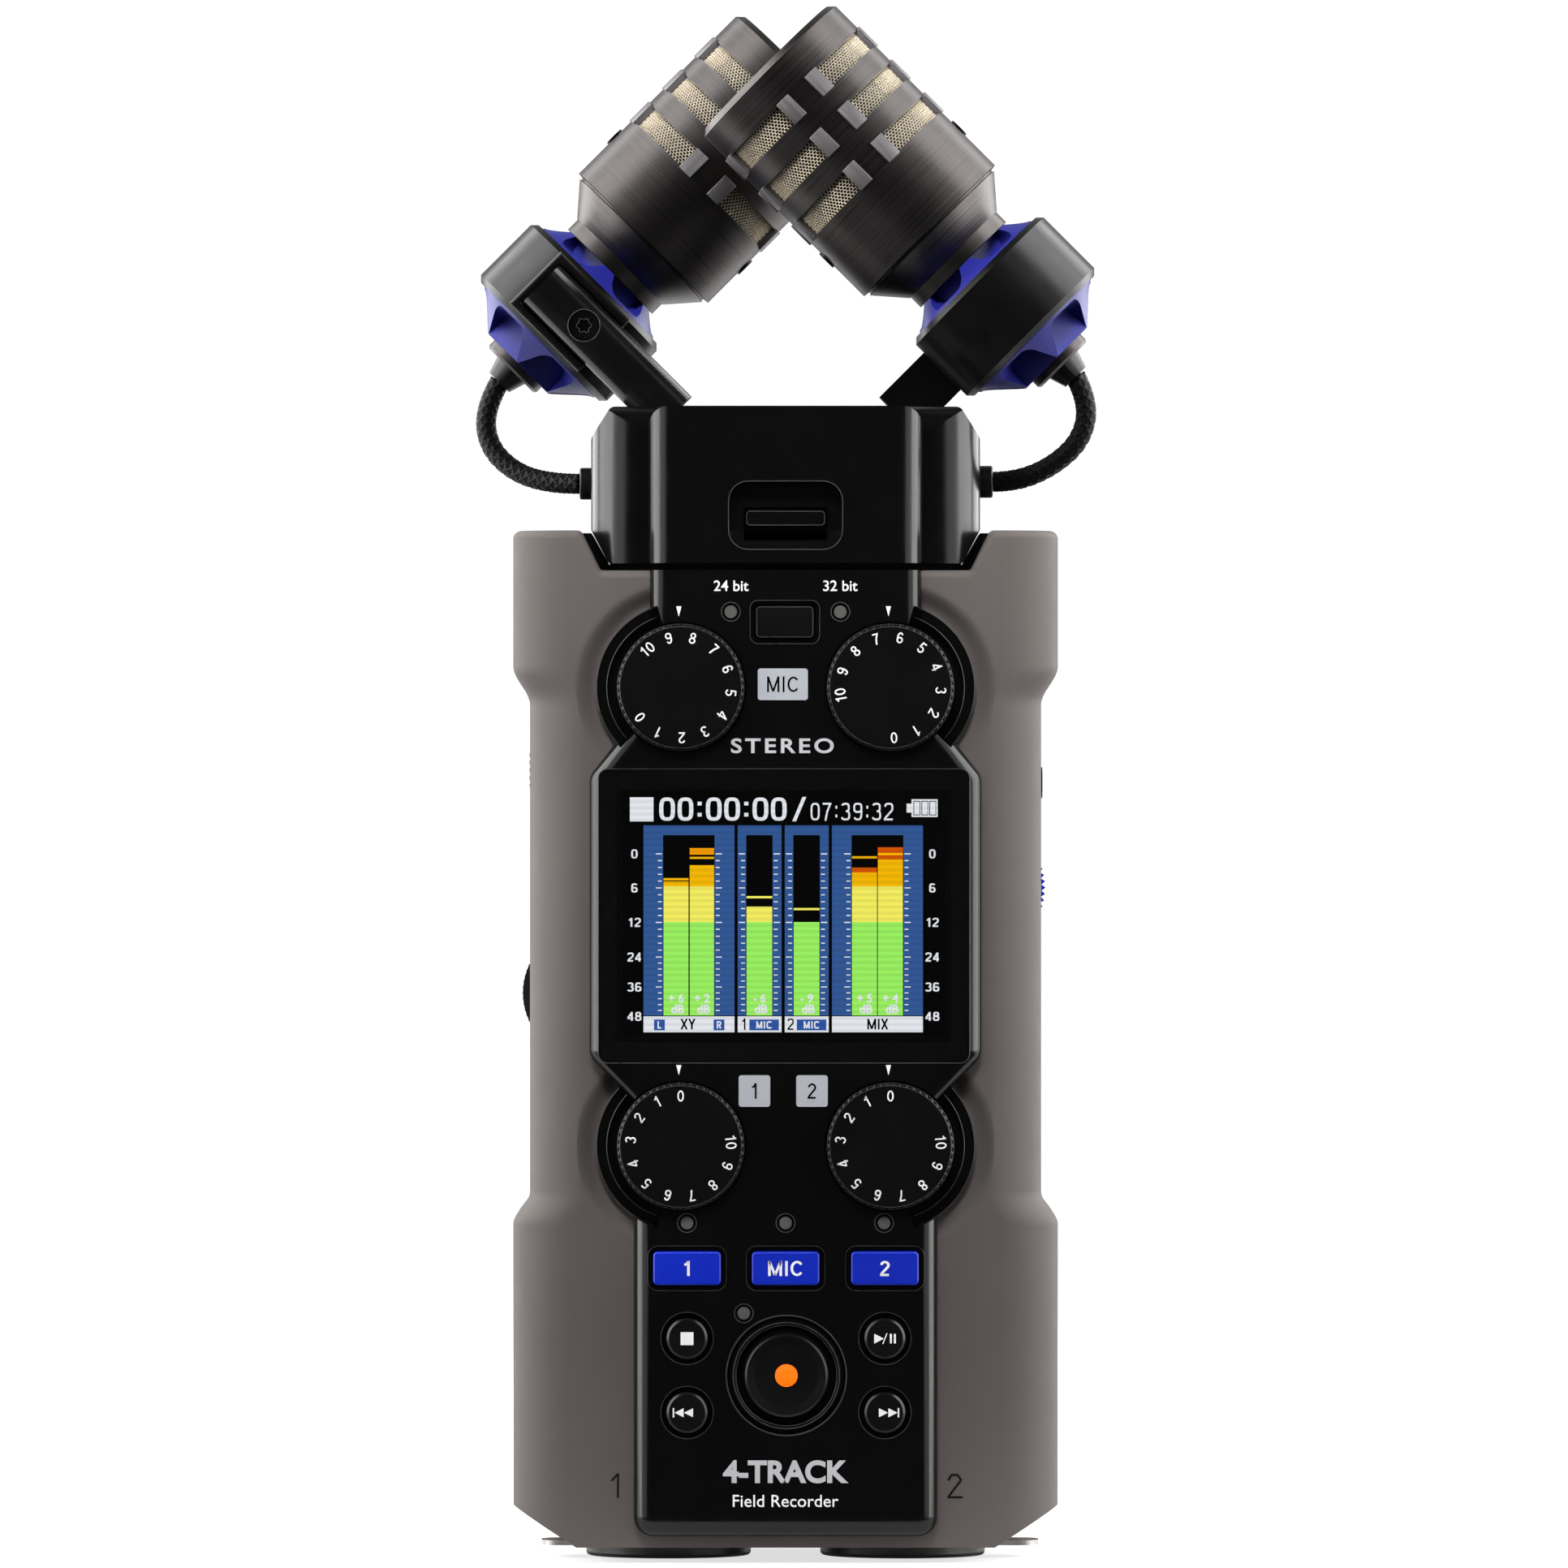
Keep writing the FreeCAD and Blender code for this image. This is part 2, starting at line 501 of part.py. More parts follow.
# --- sockets and inner parts ---------------------------------------------------------------

def make_sockets():
    contacts = []
    for name, x in (("input_jack_1", -JACK_X), ("input_jack_2", JACK_X)):
        at = Vector(x, 0, 0)
        flange = Part.makeCylinder(JACK_R, BASE_Z, at)
        rims = [e for e in flange.Edges if e.BoundBox.ZMax < 0.01 and e.BoundBox.XLength > 1]
        flange = flange.makeFillet(0.5, rims)
        barrel = Part.makeCylinder(JACK_R - 0.8, 26, at)
        shell = fuse(flange, barrel)
        ring = Part.makeCylinder(8.5, 12, at + Vector(0, 0, -1))
        ring = ring.cut(Part.makeCylinder(7.1, 14, at + Vector(0, 0, -1)))
        holes = [ring, Part.makeCylinder(JACK_BORE_R, JACK_DEPTH, at)]
        holes.append(Part.makeCylinder(7.2, 1.0, at + Vector(0, 0, -0.4)))
        for angle in (90, 210, 330):
            turn = math.radians(angle)
            place = at + Vector(5.1 * math.cos(turn), 5.1 * math.sin(turn), 0)
            holes.append(Part.makeCylinder(1.25, 13, place))
            sleeve = Part.makeCylinder(1.2, 10, place + Vector(0, 0, 3))
            contacts.append(sleeve.cut(Part.makeCylinder(0.9, 9, place + Vector(0, 0, 2))))
        save(name, cut(shell, *holes))
    save("jack_contacts", *contacts)

    sockets = []
    for z in (PHONES_Z, LINE_Z):
        start = Vector(-32.5, PHONES_Y, z)
        barrel = Part.makeCylinder(3.0, 14, start, Vector(1, 0, 0))
        sockets.append(barrel.cut(Part.makeCylinder(MINI_BORE_R, 12, start, Vector(1, 0, 0))))
    shell = box(-32.4, -24.5, -3.95, -0.05, 81.25, 90.75)
    shell = shell.cut(box(-33, -26.0, -3.3, -0.7, 81.9, 90.1))
    sockets.append(shell.fuse(box(-31.4, -25.5, -2.35, -1.65, 83.0, 89.0)))
    save("side_sockets", *sockets)

    card_slot = box(17, 30.0, -7.0, -3.6, 57, 73).cut(box(17.5, 31, -6.0, -4.8, 59.2, 70.6))
    save("card_socket", card_slot)
    save("memory_card", box(17.7, 30.6, -5.9, -4.9, 59.4, 70.4))

    insert = fuse(rod(0, TRIPOD_Z, 5.0, BACK - 8.5, BACK), rod(0, TRIPOD_Z, 6.5, 11.0, 12.6))
    save("tripod_insert", insert.cut(rod(0, TRIPOD_Z, TRIPOD_R, BACK - TRIPOD_DEPTH, BACK + 1)))

    front = BACK - WALL - 0.2
    speaker = turned_y([(front, 0), (front, SPEAKER_R), (15.5, SPEAKER_R), (14.5, 5.0), (13.0, 5.0),
                        (13.0, 0)], 0, SPEAKER_Z)
    save("speaker", speaker)

    socket = box(-16, 16, -7, 7, 112.4, NOTCH_Z - 2.1).cut(box(-14.4, 14.4, -5.4, 5.4, 114, 130))
    save("module_socket", socket)

    screws = []
    for x in (-29.3, 29.3):
        for z in (14.0, 119.0):
            head = rod(x, z, 1.9, BACK - 1.9, BACK - 0.7)
            drive = rod(x, z, 0.9, BACK - 1.4, BACK)
            screws.append(fuse(head, rod(x, z, 0.98, -5, BACK - 1.9)).cut(drive))
    save("case_screws", *screws)


def make_inside():
    board = box(-25.5, 25.5, -13.0, -11.4, 50, 122)
    board = fuse(board, box(-17, 17, -13.0, -11.4, 14, 50))
    save("main_board", board)
    pots = []
    for _, x, z in KNOBS:
        body = rect(x, z, 11.6, 11.6, 0.6, -15.4, -13.0)
        bush = rod(x, z, 3.0, -16.4, -15.3)
        pots.append(fuse(body, bush, rod(x, z, SPINDLE_R, -20.6, -16.3)))
    spindle = rod(VOL_X, VOL_Z, 1.5, VOL_Y0 - 1.5, VOL_Y1)
    pots.append(fuse(spindle, rect(VOL_X + 1, VOL_Z, 9, 9, 1, VOL_Y0 - 3.0, VOL_Y0 - 1.0)))
    save("potentiometers", *pots)
    places = [(x, z) for _, x, z in ROUND_BUTTONS + TRACK_KEYS] + [(FORMAT_X, FORMAT_Z), (REC_X, REC_Z)]
    save("key_switches", *[fuse(rect(x, z, 5, 5, 0.3, -14.4, -13.0), rod(x, z, 1.6, -14.95, -14.4))
                           for x, z in places])
    cells = []
    contacts = []
    for i in range(4):
        x = (i - 1.5) * CELL_PITCH
        up = 1 if i % 2 == 0 else -1
        can = Part.makeCylinder(CELL_R, CELL_L - 1.2, Vector(x, CELL_Y, CELL_Z + (0 if up > 0 else 1.2)))
        tip_z = CELL_Z + CELL_L - 1.2 if up > 0 else CELL_Z
        cells.append(fuse(can, Part.makeCylinder(2.7, 1.2, Vector(x, CELL_Y, tip_z))))
        for z0, z1 in ((47.1, 47.5), (104.4, 104.8)):
            contacts.append(box(x - 5, x + 5, CELL_Y - 5, CELL_Y + 5, z0, z1))
        spring_z = 47.5 if up > 0 else CELL_Z + CELL_L + 0.1
        top_z = CELL_Z - 0.1 if up > 0 else 104.4
        for j in range(3):
            rise = (top_z - spring_z) / 3
            contacts.append(Part.makeTorus(3.0 - 0.4 * j, 0.3, Vector(x, CELL_Y, spring_z + 0.4 + rise * j)))
    save("battery_cells", *cells)
    save("battery_contacts", *contacts)


# --- microphone module ---------------------------------------------------------------------

def other_side(shape):
    """The same shape on the module's other side: half a turn about the upright axis."""
    copy = shape.copy()
    copy.rotate(Vector(0, 0, 0), Vector(0, 0, 1), 180)
    return copy


RING_AT = Vector(RING_X, RING_Y, RING_Z)
MIC_AXIS = Vector(-1, 0, 1).normalize()
MIC_SIDE = Vector(0, -1, 0)
ARM_AXIS = Vector(-1, 0, -1).normalize()


def local_box(a0, a1, y0, y1, d0, d1):
    """A box beside the right ring: a along the microphone, d down the arm."""
    corner = Vector(RING_AT.x, 0, RING_AT.z) + MIC_AXIS * a0 + ARM_AXIS * d0 + Vector(0, y0, 0)
    wire = Part.makePolygon([
        corner, corner + MIC_AXIS * (a1 - a0), corner + MIC_AXIS * (a1 - a0) + ARM_AXIS * (d1 - d0),
        corner + ARM_AXIS * (d1 - d0), corner,
    ])
    return Part.Face(wire).extrude(Vector(0, y1 - y0, 0))


def make_module():
    outline = mirrored([
        (22.5, MOD_LOW, 0.6), (MOD_HALF, 131.2, 1.0), (MOD_HALF, 142.9, 1.2), (22.2, MOD_HIGH, 1.0),
    ])
    form = rounded_wire([
        (Vector(-MOD_HALF, MOD_FRONT, 120), 6), (Vector(MOD_HALF, MOD_FRONT, 120), 6),
        (Vector(MOD_HALF, MOD_BACK, 120), 6), (Vector(-MOD_HALF, MOD_BACK, 120), 6),
    ])
    shell = Part.Face(form).extrude(Vector(0, 0, 40)).common(plate(outline, -30, 30))
    side = rounded_wire([
        (Vector(-30, MOD_FRONT, 120), 0.1), (Vector(-30, MOD_BACK, 120), 0.1),
        (Vector(-30, MOD_BACK, MOD_HIGH), MOD_ROLL), (Vector(-30, MOD_FRONT, MOD_HIGH), MOD_ROLL),
    ])
    shell = shell.common(Part.Face(side).extrude(Vector(60, 0, 0)))
    roll = rounded_wire([
        (Vector(-MOD_CENTRE, PANEL_Y, 120), MOD_ROLL), (Vector(MOD_CENTRE, PANEL_Y, 120), MOD_ROLL),
        (Vector(MOD_CENTRE, MOD_FRONT + 3, 120), 0.1), (Vector(-MOD_CENTRE, MOD_FRONT + 3, 120), 0.1),
    ])
    outline = mirrored([(MOD_CENTRE, MOD_LOW, 0.4), (MOD_CENTRE, MOD_HIGH - 0.05, 2.6)])
    front = Part.Face(roll).extrude(Vector(0, 0, 40)).common(plate(outline, PANEL_Y - 1, 0))
    shell = fuse(shell, front, box(-21, 21, -16, 17, NOTCH_Z, MOD_LOW + 0.5))
    scoop = rect(0, 132.95, 14.5, 8.7, 2.5, PANEL_Y - 1, PANEL_Y + 2.6)
    slope = Part.makePolygon([
        Vector(-10, PANEL_Y - 1, 127), Vector(-10, PANEL_Y + 0.5, 128.4), Vector(-10, PANEL_Y + 2.2, 131),
        Vector(-10, PANEL_Y + 2.6, 138), Vector(-10, PANEL_Y - 1, 138), Vector(-10, PANEL_Y - 1, 127),
    ])
    scoop = scoop.common(Part.Face(slope).extrude(Vector(20, 0, 0)))
    hollow = box(-22.6, 22.6, -15.4, 18.6, 129.2, 144.5)
    plug_way = box(-14.2, 14.2, -5.2, 5.2, 120, 130)
    latch_way = box(-5.3, 5.3, PANEL_Y - 1, -15, 129.8, 134.0)
    arm = local_box(-3.35, 3.35, -0.9, 5.6, -4.6, -4.6 + ARM_LONG)
    rims = [e for e in arm.Edges if abs(e.Length - ARM_LONG) < 0.01 and e.BoundBox.YMin > 5.5]
    arm = arm.makeFillet(ARM_ROUND, rims)
    arms = [arm, other_side(arm)]
    gland = Part.makeCylinder(2.05, 4.2, Vector(22.3, GLAND_Y, GLAND_Z), Vector(1, 0, 0))
    glands = [gland, other_side(gland)]
    shell = cut(shell, scoop, hollow, plug_way, latch_way, *arms, *glands)
    save("module_shell", shell)
    bar = rect(0, 132.6, 10.0, 1.85, 0.5, PANEL_Y + 1.3, -14.6)
    save("release_latch", fuse(bar, box(-7, 7, -15.2, -14.4, 131.0, 134.8)))
    plug = box(-14, 14, -5, 5, 114.3, 131.5)
    save("module_plug", plug)

    hole = rod(RING_X - 2.2, RING_Z - 2.2, 1.25, -15, 15)
    head_room = rod(RING_X - 2.2, RING_Z - 2.2, 2.05, 4.3, 15)
    arm = cut(arm, hole, head_room)
    save("arm_right", arm)
    save("arm_left", other_side(arm))
    screw = fuse(rod(RING_X - 2.2, RING_Z - 2.2, 1.9, 4.3, 5.4), rod(RING_X - 2.2, RING_Z - 2.2, 1.2, -2.0, 4.3))
    screw = screw.cut(rod(RING_X - 2.2, RING_Z - 2.2, 0.9, 4.7, 6))
    save("clamp_screws", screw, other_side(screw))

    half = RING_HALF_L
    ring = turned([(-half, RING_BORE_R), (-half, RING_R - 0.7), (-half + 0.7, RING_R),
                   (half - 0.7, RING_R), (half, RING_R - 0.7), (half, RING_BORE_R)],
                  RING_AT, MIC_AXIS, MIC_SIDE)
    boss = local_box(-4.7, 4.7, -6.0, -1.0, -5.8, 6.6)
    bore = Part.makeCylinder(RING_BORE_R, 30, RING_AT - MIC_AXIS * 15, MIC_AXIS)
    cradle = local_box(-4.7, 4.7, -2.0, 3.1, -5.8, 6.6)
    cradle = cradle.cut(local_box(-3.4, 3.4, -0.95, 4, -4.7, 7))
    corners = [e for e in cradle.Edges if abs(e.BoundBox.YMin - 3.1) < 0.01 and e.Length > 6]
    cradle = cradle.makeFillet(0.5, corners)
    ring = fuse(ring, boss, cradle).cut(bore).cut(hole)
    save("ring_right", ring)
    save("ring_left", other_side(ring))

    mount = turned([(-9.25, 4.5), (-9.25, 6.2), (-5.4, 10.0), (-5.0, 10.25), (5.0, 10.25), (5.3, 10.1),
                    (7.5, 7.7), (7.5, 4.5)], RING_AT, MIC_AXIS, MIC_SIDE)
    pockets = []
    for i in range(POCKETS):
        out = FreeCAD.Rotation(MIC_AXIS, 30 + 60 * i).multVec(MIC_SIDE)
        for t0, t1 in ((-14, -5.6), (5.6, 11)):
            pockets.append(pocket(out, t0, t1))
    mount = cut(mount, *pockets)
    save("shock_mount_right", mount)
    save("shock_mount_left", other_side(mount))
    make_microphones()
    make_leads()


def pocket(out, t0, t1):
    """A slot from t0 to t1 along the microphone's axis, open on the side that out points to."""
    across = MIC_AXIS.cross(out)
    foot = RING_AT + out * POCKET_FLOOR_R
    corners = []
    for a, t in ((-1, t0), (1, t0), (1, t1), (-1, t1)):
        corners.append((foot + across * (a * POCKET_WIDE / 2) + MIC_AXIS * t, 1.2))
    return Part.Face(rounded_wire(corners)).extrude(out * 8)


def make_microphones():
    profile = [
        (-10.5, 0), (-10.5, 4.0), (-10.2, 4.3), (-9.3, 4.3), (7.55, 4.3), (7.55, 7.7), (9.36, 7.7),
        (9.36, 7.85), (13.2, 11.2), (13.3, 11.0), (13.55, 11.0), (13.65, MIC_R), (42.3, MIC_R),
        (MIC_END, 11.0), (MIC_END, 10.2), (MIC_END - 0.8, 10.2), (MIC_END - 0.8, 0),
    ]
    mic = turned(profile, RING_AT, MIC_AXIS, MIC_SIDE)
    inner = Part.makeCylinder(10.4, 23.4, RING_AT + MIC_AXIS * 17.5, MIC_AXIS)
    cuts = [inner]
    for row in WINDOW_ROWS:
        start = MIC_END - row - WINDOW_W / 2
        for angle in WINDOW_ANGLES:
            side = FreeCAD.Rotation(MIC_AXIS, angle - WINDOW_SPAN / 2).multVec(MIC_SIDE)
            at = RING_AT + MIC_AXIS * start
            points = [at + side * 9.5, at + side * 13, at + side * 13 + MIC_AXIS * WINDOW_W,
                      at + side * 9.5 + MIC_AXIS * WINDOW_W]
            face = Part.Face(Part.makePolygon(points + [points[0]]))
            cuts.append(face.revolve(RING_AT, MIC_AXIS, WINDOW_SPAN))
    mic = cut(mic, *cuts)
    save("mic_right", mic)
    save("mic_left", other_side(mic))
    tube = Part.makeCylinder(10.3, 22.4, RING_AT + MIC_AXIS * 18, MIC_AXIS)
    tube = tube.cut(Part.makeCylinder(9.95, 24, RING_AT + MIC_AXIS * 17.5, MIC_AXIS))
    save("mic_meshes", tube, other_side(tube))


def tube_along(points, radius, name):
    """A round tube through straight runs joined by tangent arcs."""
    places = [Vector(*p) for p in points]
    edges = []
    at = places[0]
    length = 0
    radii = []
    for before, here, after in zip(places, places[1:], places[2:]):
        back = (before - here)
        ahead = (after - here)
        run = min(back.Length, ahead.Length)
        back.normalize()
        ahead.normalize()
        turn = math.pi - back.getAngle(ahead)
        bend = 0.45 * run / math.tan(turn / 2)
        radii.append(round(bend, 1))
        reach = 0.45 * run
        start, end = here + back * reach, here + ahead * reach
        middle = here + (back + ahead).normalize() * (bend / math.cos(turn / 2) - bend)
        edges.append(Part.LineSegment(at, start).toShape())
        edges.append(Part.Arc(start, middle, end).toShape())
        length += at.distanceToPoint(start) + bend * turn
        at = end
    edges.append(Part.LineSegment(at, places[-1]).toShape())
    length += at.distanceToPoint(places[-1])
    path = Part.Wire(edges)
    heading = places[1] - places[0]
    ring = Part.Wire(Part.makeCircle(radius, places[0], heading))
    tube = path.makePipeShell([ring], True, True)
    print(f"{name} bend radii {radii} length {length:.2f}", end=" ")
    print(f"volume {tube.Volume:.2f} against {math.pi * radius ** 2 * length:.2f}")
    return tube


def make_leads():
    save("lead_right", tube_along(LEAD_RIGHT, LEAD_R, "lead_right"))
    save("lead_left", tube_along(LEAD_LEFT, LEAD_R, "lead_left"))
    boot = turned([(-12.7, 0), (-12.7, 1.8), (-10.5, 2.5), (-10.5, 0)], RING_AT, MIC_AXIS, MIC_SIDE)
    gland = Part.makeCylinder(2.05, 4.2, Vector(22.3, GLAND_Y, GLAND_Z), Vector(1, 0, 0))
    gland = gland.makeFillet(0.3, [e for e in gland.Edges if e.BoundBox.XMin > 26.4])
    save("lead_boots", boot, other_side(boot), gland, other_side(gland))


def main():
    os.makedirs("parts", exist_ok=True)
    make_cases()
    make_panel()
    make_controls()
    make_side_controls()
    make_latch_tabs()
    make_sockets()
    make_inside()
    make_module()


main()
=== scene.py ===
import json
import math

import bpy
import numpy as np
from mathutils import Matrix, Vector


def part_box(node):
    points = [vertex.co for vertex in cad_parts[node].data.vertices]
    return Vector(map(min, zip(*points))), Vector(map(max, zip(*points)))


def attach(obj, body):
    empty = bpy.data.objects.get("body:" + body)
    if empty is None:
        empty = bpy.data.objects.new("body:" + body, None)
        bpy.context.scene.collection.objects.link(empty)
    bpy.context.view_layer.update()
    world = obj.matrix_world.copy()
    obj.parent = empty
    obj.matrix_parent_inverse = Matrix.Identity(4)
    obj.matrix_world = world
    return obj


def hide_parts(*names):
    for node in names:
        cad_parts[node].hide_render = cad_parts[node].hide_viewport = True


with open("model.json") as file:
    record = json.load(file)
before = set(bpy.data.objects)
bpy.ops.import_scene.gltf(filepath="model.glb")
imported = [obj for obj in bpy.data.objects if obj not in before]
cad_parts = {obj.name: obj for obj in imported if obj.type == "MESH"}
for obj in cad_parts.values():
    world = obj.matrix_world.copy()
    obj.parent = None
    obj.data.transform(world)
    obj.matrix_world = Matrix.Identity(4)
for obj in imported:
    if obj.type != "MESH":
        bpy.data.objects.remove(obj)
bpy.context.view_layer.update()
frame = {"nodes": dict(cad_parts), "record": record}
MM = 0.001


# --- places taken from the frame ---

def low(node):
    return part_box(node)[0]


def high(node):
    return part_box(node)[1]


def middle(node):
    return (low(node) + high(node)) / 2


PANEL_Y = low("screen_lens").y - 0.05 * MM
SCREEN_MIDDLE = middle("screen_lens")
RIGHT = Vector((1, 0, 0))
OUT, BACK = Vector((0, -1, 0)), Vector((0, 1, 0))


def added(name, data):
    """A new object in the scene."""
    piece = bpy.data.objects.new(name, data)
    bpy.context.scene.collection.objects.link(piece)
    return piece


def evaluated_mesh(piece):
    """A copy of the piece's mesh as its curve or modifiers make it."""
    bpy.context.view_layer.update()
    ready = piece.evaluated_get(bpy.context.evaluated_depsgraph_get())
    return bpy.data.meshes.new_from_object(ready)


# --- materials ---

def nodes_of(mat):
    return mat.node_tree.nodes, mat.node_tree.links


def shader_of(mat):
    return mat.node_tree.nodes["Principled BSDF"]


def material(name, colour, rough, metallic=0.0, specular=0.5):
    mat = bpy.data.materials.new(name)
    mat.use_nodes = True
    shader = shader_of(mat)
    shader.inputs["Base Color"].default_value = (*colour, 1)
    shader.inputs["Roughness"].default_value = rough
    shader.inputs["Metallic"].default_value = metallic
    shader.inputs["Specular IOR Level"].default_value = specular
    mat.diffuse_color = (*colour, 1)
    return mat


def noise(mat, scale, detail=2.0, vector=None, roughness=0.5):
    nodes, links = nodes_of(mat)
    node = nodes.new("ShaderNodeTexNoise")
    node.inputs["Scale"].default_value = scale
    node.inputs["Detail"].default_value = detail
    node.inputs["Roughness"].default_value = roughness
    if vector is None:
        vector = nodes.new("ShaderNodeTexCoord").outputs["Object"]
    links.new(vector, node.inputs["Vector"])
    return node.outputs["Fac"]


def remap(nodes, *limits):
    """A node that maps one range of values to another."""
    node = nodes.new("ShaderNodeMapRange")
    for name, value in zip(("From Min", "From Max", "To Min", "To Max"), limits):
        node.inputs[name].default_value = value
    return node


def spread(mat, value, to_low, to_high):
    """Maps the middle half of a 0 to 1 value to a range."""
    nodes, links = nodes_of(mat)
    node = remap(nodes, 0.25, 0.75, to_low, to_high)
    links.new(value, node.inputs["Value"])
    return node.outputs["Result"]


def vary_colour(mat, value, dark, light):
    nodes, links = nodes_of(mat)
    ramp = nodes.new("ShaderNodeValToRGB")
    ramp.color_ramp.elements[0].color = (*dark, 1)
    ramp.color_ramp.elements[1].color = (*light, 1)
    ramp.color_ramp.elements[0].position = 0.3
    ramp.color_ramp.elements[1].position = 0.7
    links.new(value, ramp.inputs["Fac"])
    links.new(ramp.outputs["Color"], shader_of(mat).inputs["Base Color"])


def vary_roughness(mat, value, smooth, coarse):
    mat.node_tree.links.new(spread(mat, value, smooth, coarse), shader_of(mat).inputs["Roughness"])


def bump(mat, value, distance):
    nodes, links = nodes_of(mat)
    node = nodes.new("ShaderNodeBump")
    node.inputs["Distance"].default_value = distance
    links.new(value, node.inputs["Height"])
    links.new(node.outputs["Normal"], shader_of(mat).inputs["Normal"])


SHADE_DRIFT, SHEEN_DRIFT = 45.0, 300.0     # scales of the noise in shade and in sheen
ACROSS_LINES = 60.0                        # scale across brushed lines


def moulded(name, colour, rough, grain, depth, specular=0.5, change=0.12):
    """Moulded plastic or rubber: a fine grain, and a slow drift of shade and sheen."""
    mat = material(name, colour, rough, specular=specular)
    slow = noise(mat, SHADE_DRIFT, 3.0)
    dark = [c * (1 - change) for c in colour]
    light = [c * (1 + change) for c in colour]
    vary_colour(mat, slow, dark, light)
    vary_roughness(mat, noise(mat, SHEEN_DRIFT, 3.0), rough - 0.04, rough + 0.05)
    bump(mat, noise(mat, grain, 2.0), depth)
    return mat


def along(mat, direction, scale):
    """A vector that runs fast along direction and slowly across it, for lines brushed round it."""
    nodes, links = nodes_of(mat)
    place = nodes.new("ShaderNodeTexCoord").outputs["Object"]
    dot = nodes.new("ShaderNodeVectorMath")
    dot.operation = "DOT_PRODUCT"
    dot.inputs[1].default_value = direction
    links.new(place, dot.inputs[0])
    fast = nodes.new("ShaderNodeVectorMath")
    fast.operation = "SCALE"
    fast.inputs[0].default_value = [d * scale for d in direction]
    links.new(dot.outputs["Value"], fast.inputs["Scale"])
    slow = nodes.new("ShaderNodeVectorMath")
    slow.operation = "SCALE"
    slow.inputs["Scale"].default_value = ACROSS_LINES
    links.new(place, slow.inputs[0])
    total = nodes.new("ShaderNodeVectorMath")
    total.operation = "ADD"
    links.new(fast.outputs["Vector"], total.inputs[0])
    links.new(slow.outputs["Vector"], total.inputs[1])
    return total.outputs["Vector"]


def brushed(name, colour, rough, direction, metallic=1.0, depth=0.000006):
    """Metal with fine lines that run round direction."""
    mat = material(name, colour, rough, metallic)
    lines = noise(mat, 1.0, 4.0, along(mat, direction, 9000.0), 0.7)
    vary_colour(mat, lines, [c * 0.7 for c in colour], [c * 1.35 for c in colour])
    vary_roughness(mat, lines, rough - 0.08, rough + 0.1)
    bump(mat, lines, depth)
    return mat


def glowing(name, colour):
    """A lit part of the display, with the faint lines of its rows of dots."""
    mat = material(name, (0.001, 0.001, 0.001), 0.4, specular=0.0)
    nodes, links = nodes_of(mat)
    shader = shader_of(mat)
    wave = nodes.new("ShaderNodeTexWave")
    wave.bands_direction = "Z"
    wave.inputs["Scale"].default_value = 400.0
    links.new(nodes.new("ShaderNodeTexCoord").outputs["Object"], wave.inputs["Vector"])
    ramp = nodes.new("ShaderNodeValToRGB")
    ramp.color_ramp.elements[0].color = (*[c * 0.86 for c in colour], 1)
    ramp.color_ramp.elements[1].color = (*colour, 1)
    links.new(wave.outputs["Fac"], ramp.inputs["Fac"])
    links.new(ramp.outputs["Color"], shader.inputs["Emission Color"])
    shader.inputs["Emission Strength"].default_value = 1.0
    return mat


def clear(name):
    mat = material(name, (0.96, 0.97, 0.98), 0.03)
    shader = shader_of(mat)
    shader.inputs["Transmission Weight"].default_value = 1.0
    shader.inputs["IOR"].default_value = 1.45
    vary_roughness(mat, noise(mat, 60.0), 0.0, 0.02)
    return mat


MIC_RIGHT_AXIS = Vector((-1, 0, 1)).normalized()
MIC_LEFT_AXIS = Vector((1, 0, 1)).normalized()

MOULDED = {
    # slot: colour, roughness, grain, depth of the grain, specular, change of shade
    "case_plastic": ((0.089, 0.0785, 0.0745), 0.6, 2600.0, 0.00002, 0.15, 0.05),
    "panel_plastic": ((0.0018, 0.0018, 0.0019), 0.19, 3200.0, 0.000003, 0.4),
    "display": ((0.001, 0.001, 0.001), 0.3, 2000.0, 0.000002, 0.1),
    "knob_plastic": ((0.002, 0.002, 0.0021), 0.32, 3000.0, 0.000006, 0.3),
    "button_rubber": ((0.0022, 0.0022, 0.0024), 0.32, 2600.0, 0.000008, 0.4),
    "key_blue": ((0.002, 0.016, 0.38), 0.35, 2600.0, 0.00001),
    "led_lens": ((0.075, 0.074, 0.07), 0.4, 1500.0, 0.00001),
    "dial_blue": ((0.001, 0.018, 0.42), 0.35, 2600.0, 0.00001),
    "wheel_black": ((0.006, 0.006, 0.006), 0.35, 2600.0, 0.00001),
    "jack_plastic": ((0.006, 0.006, 0.006), 0.35, 2600.0, 0.00001),
    "board_green": ((0.008, 0.07, 0.03), 0.4, 900.0, 0.00001),
    "cell_wrap": ((0.12, 0.12, 0.13), 0.35, 900.0, 0.000004),
    "module_plastic": ((0.0014, 0.0014, 0.0014), 0.22, 3200.0, 0.000003, 0.5),
    "arm_black": ((0.0016, 0.0016, 0.0016), 0.24, 2200.0, 0.000005, 0.7),
    "ring_black": ((0.0018, 0.0017, 0.0016), 0.3, 2600.0, 0.000002, 0.32),
    "elastomer_blue": ((0.012, 0.014, 0.16), 0.38, 1400.0, 0.00001, 0.4),
    "lead_braid": ((0.0016, 0.0015, 0.0014), 0.5, 5000.0, 0.00002, 0.2),
    "print_white": ((0.72, 0.72, 0.72), 0.5, 4000.0, 0.000004, 0.5, 0.03),
    "badge_grey": ((0.34, 0.35, 0.38), 0.45, 4000.0, 0.000004, 0.5, 0.03),
    "record_orange": ((1.0, 0.13, 0.003), 0.3, 900.0, 0.000004),
}
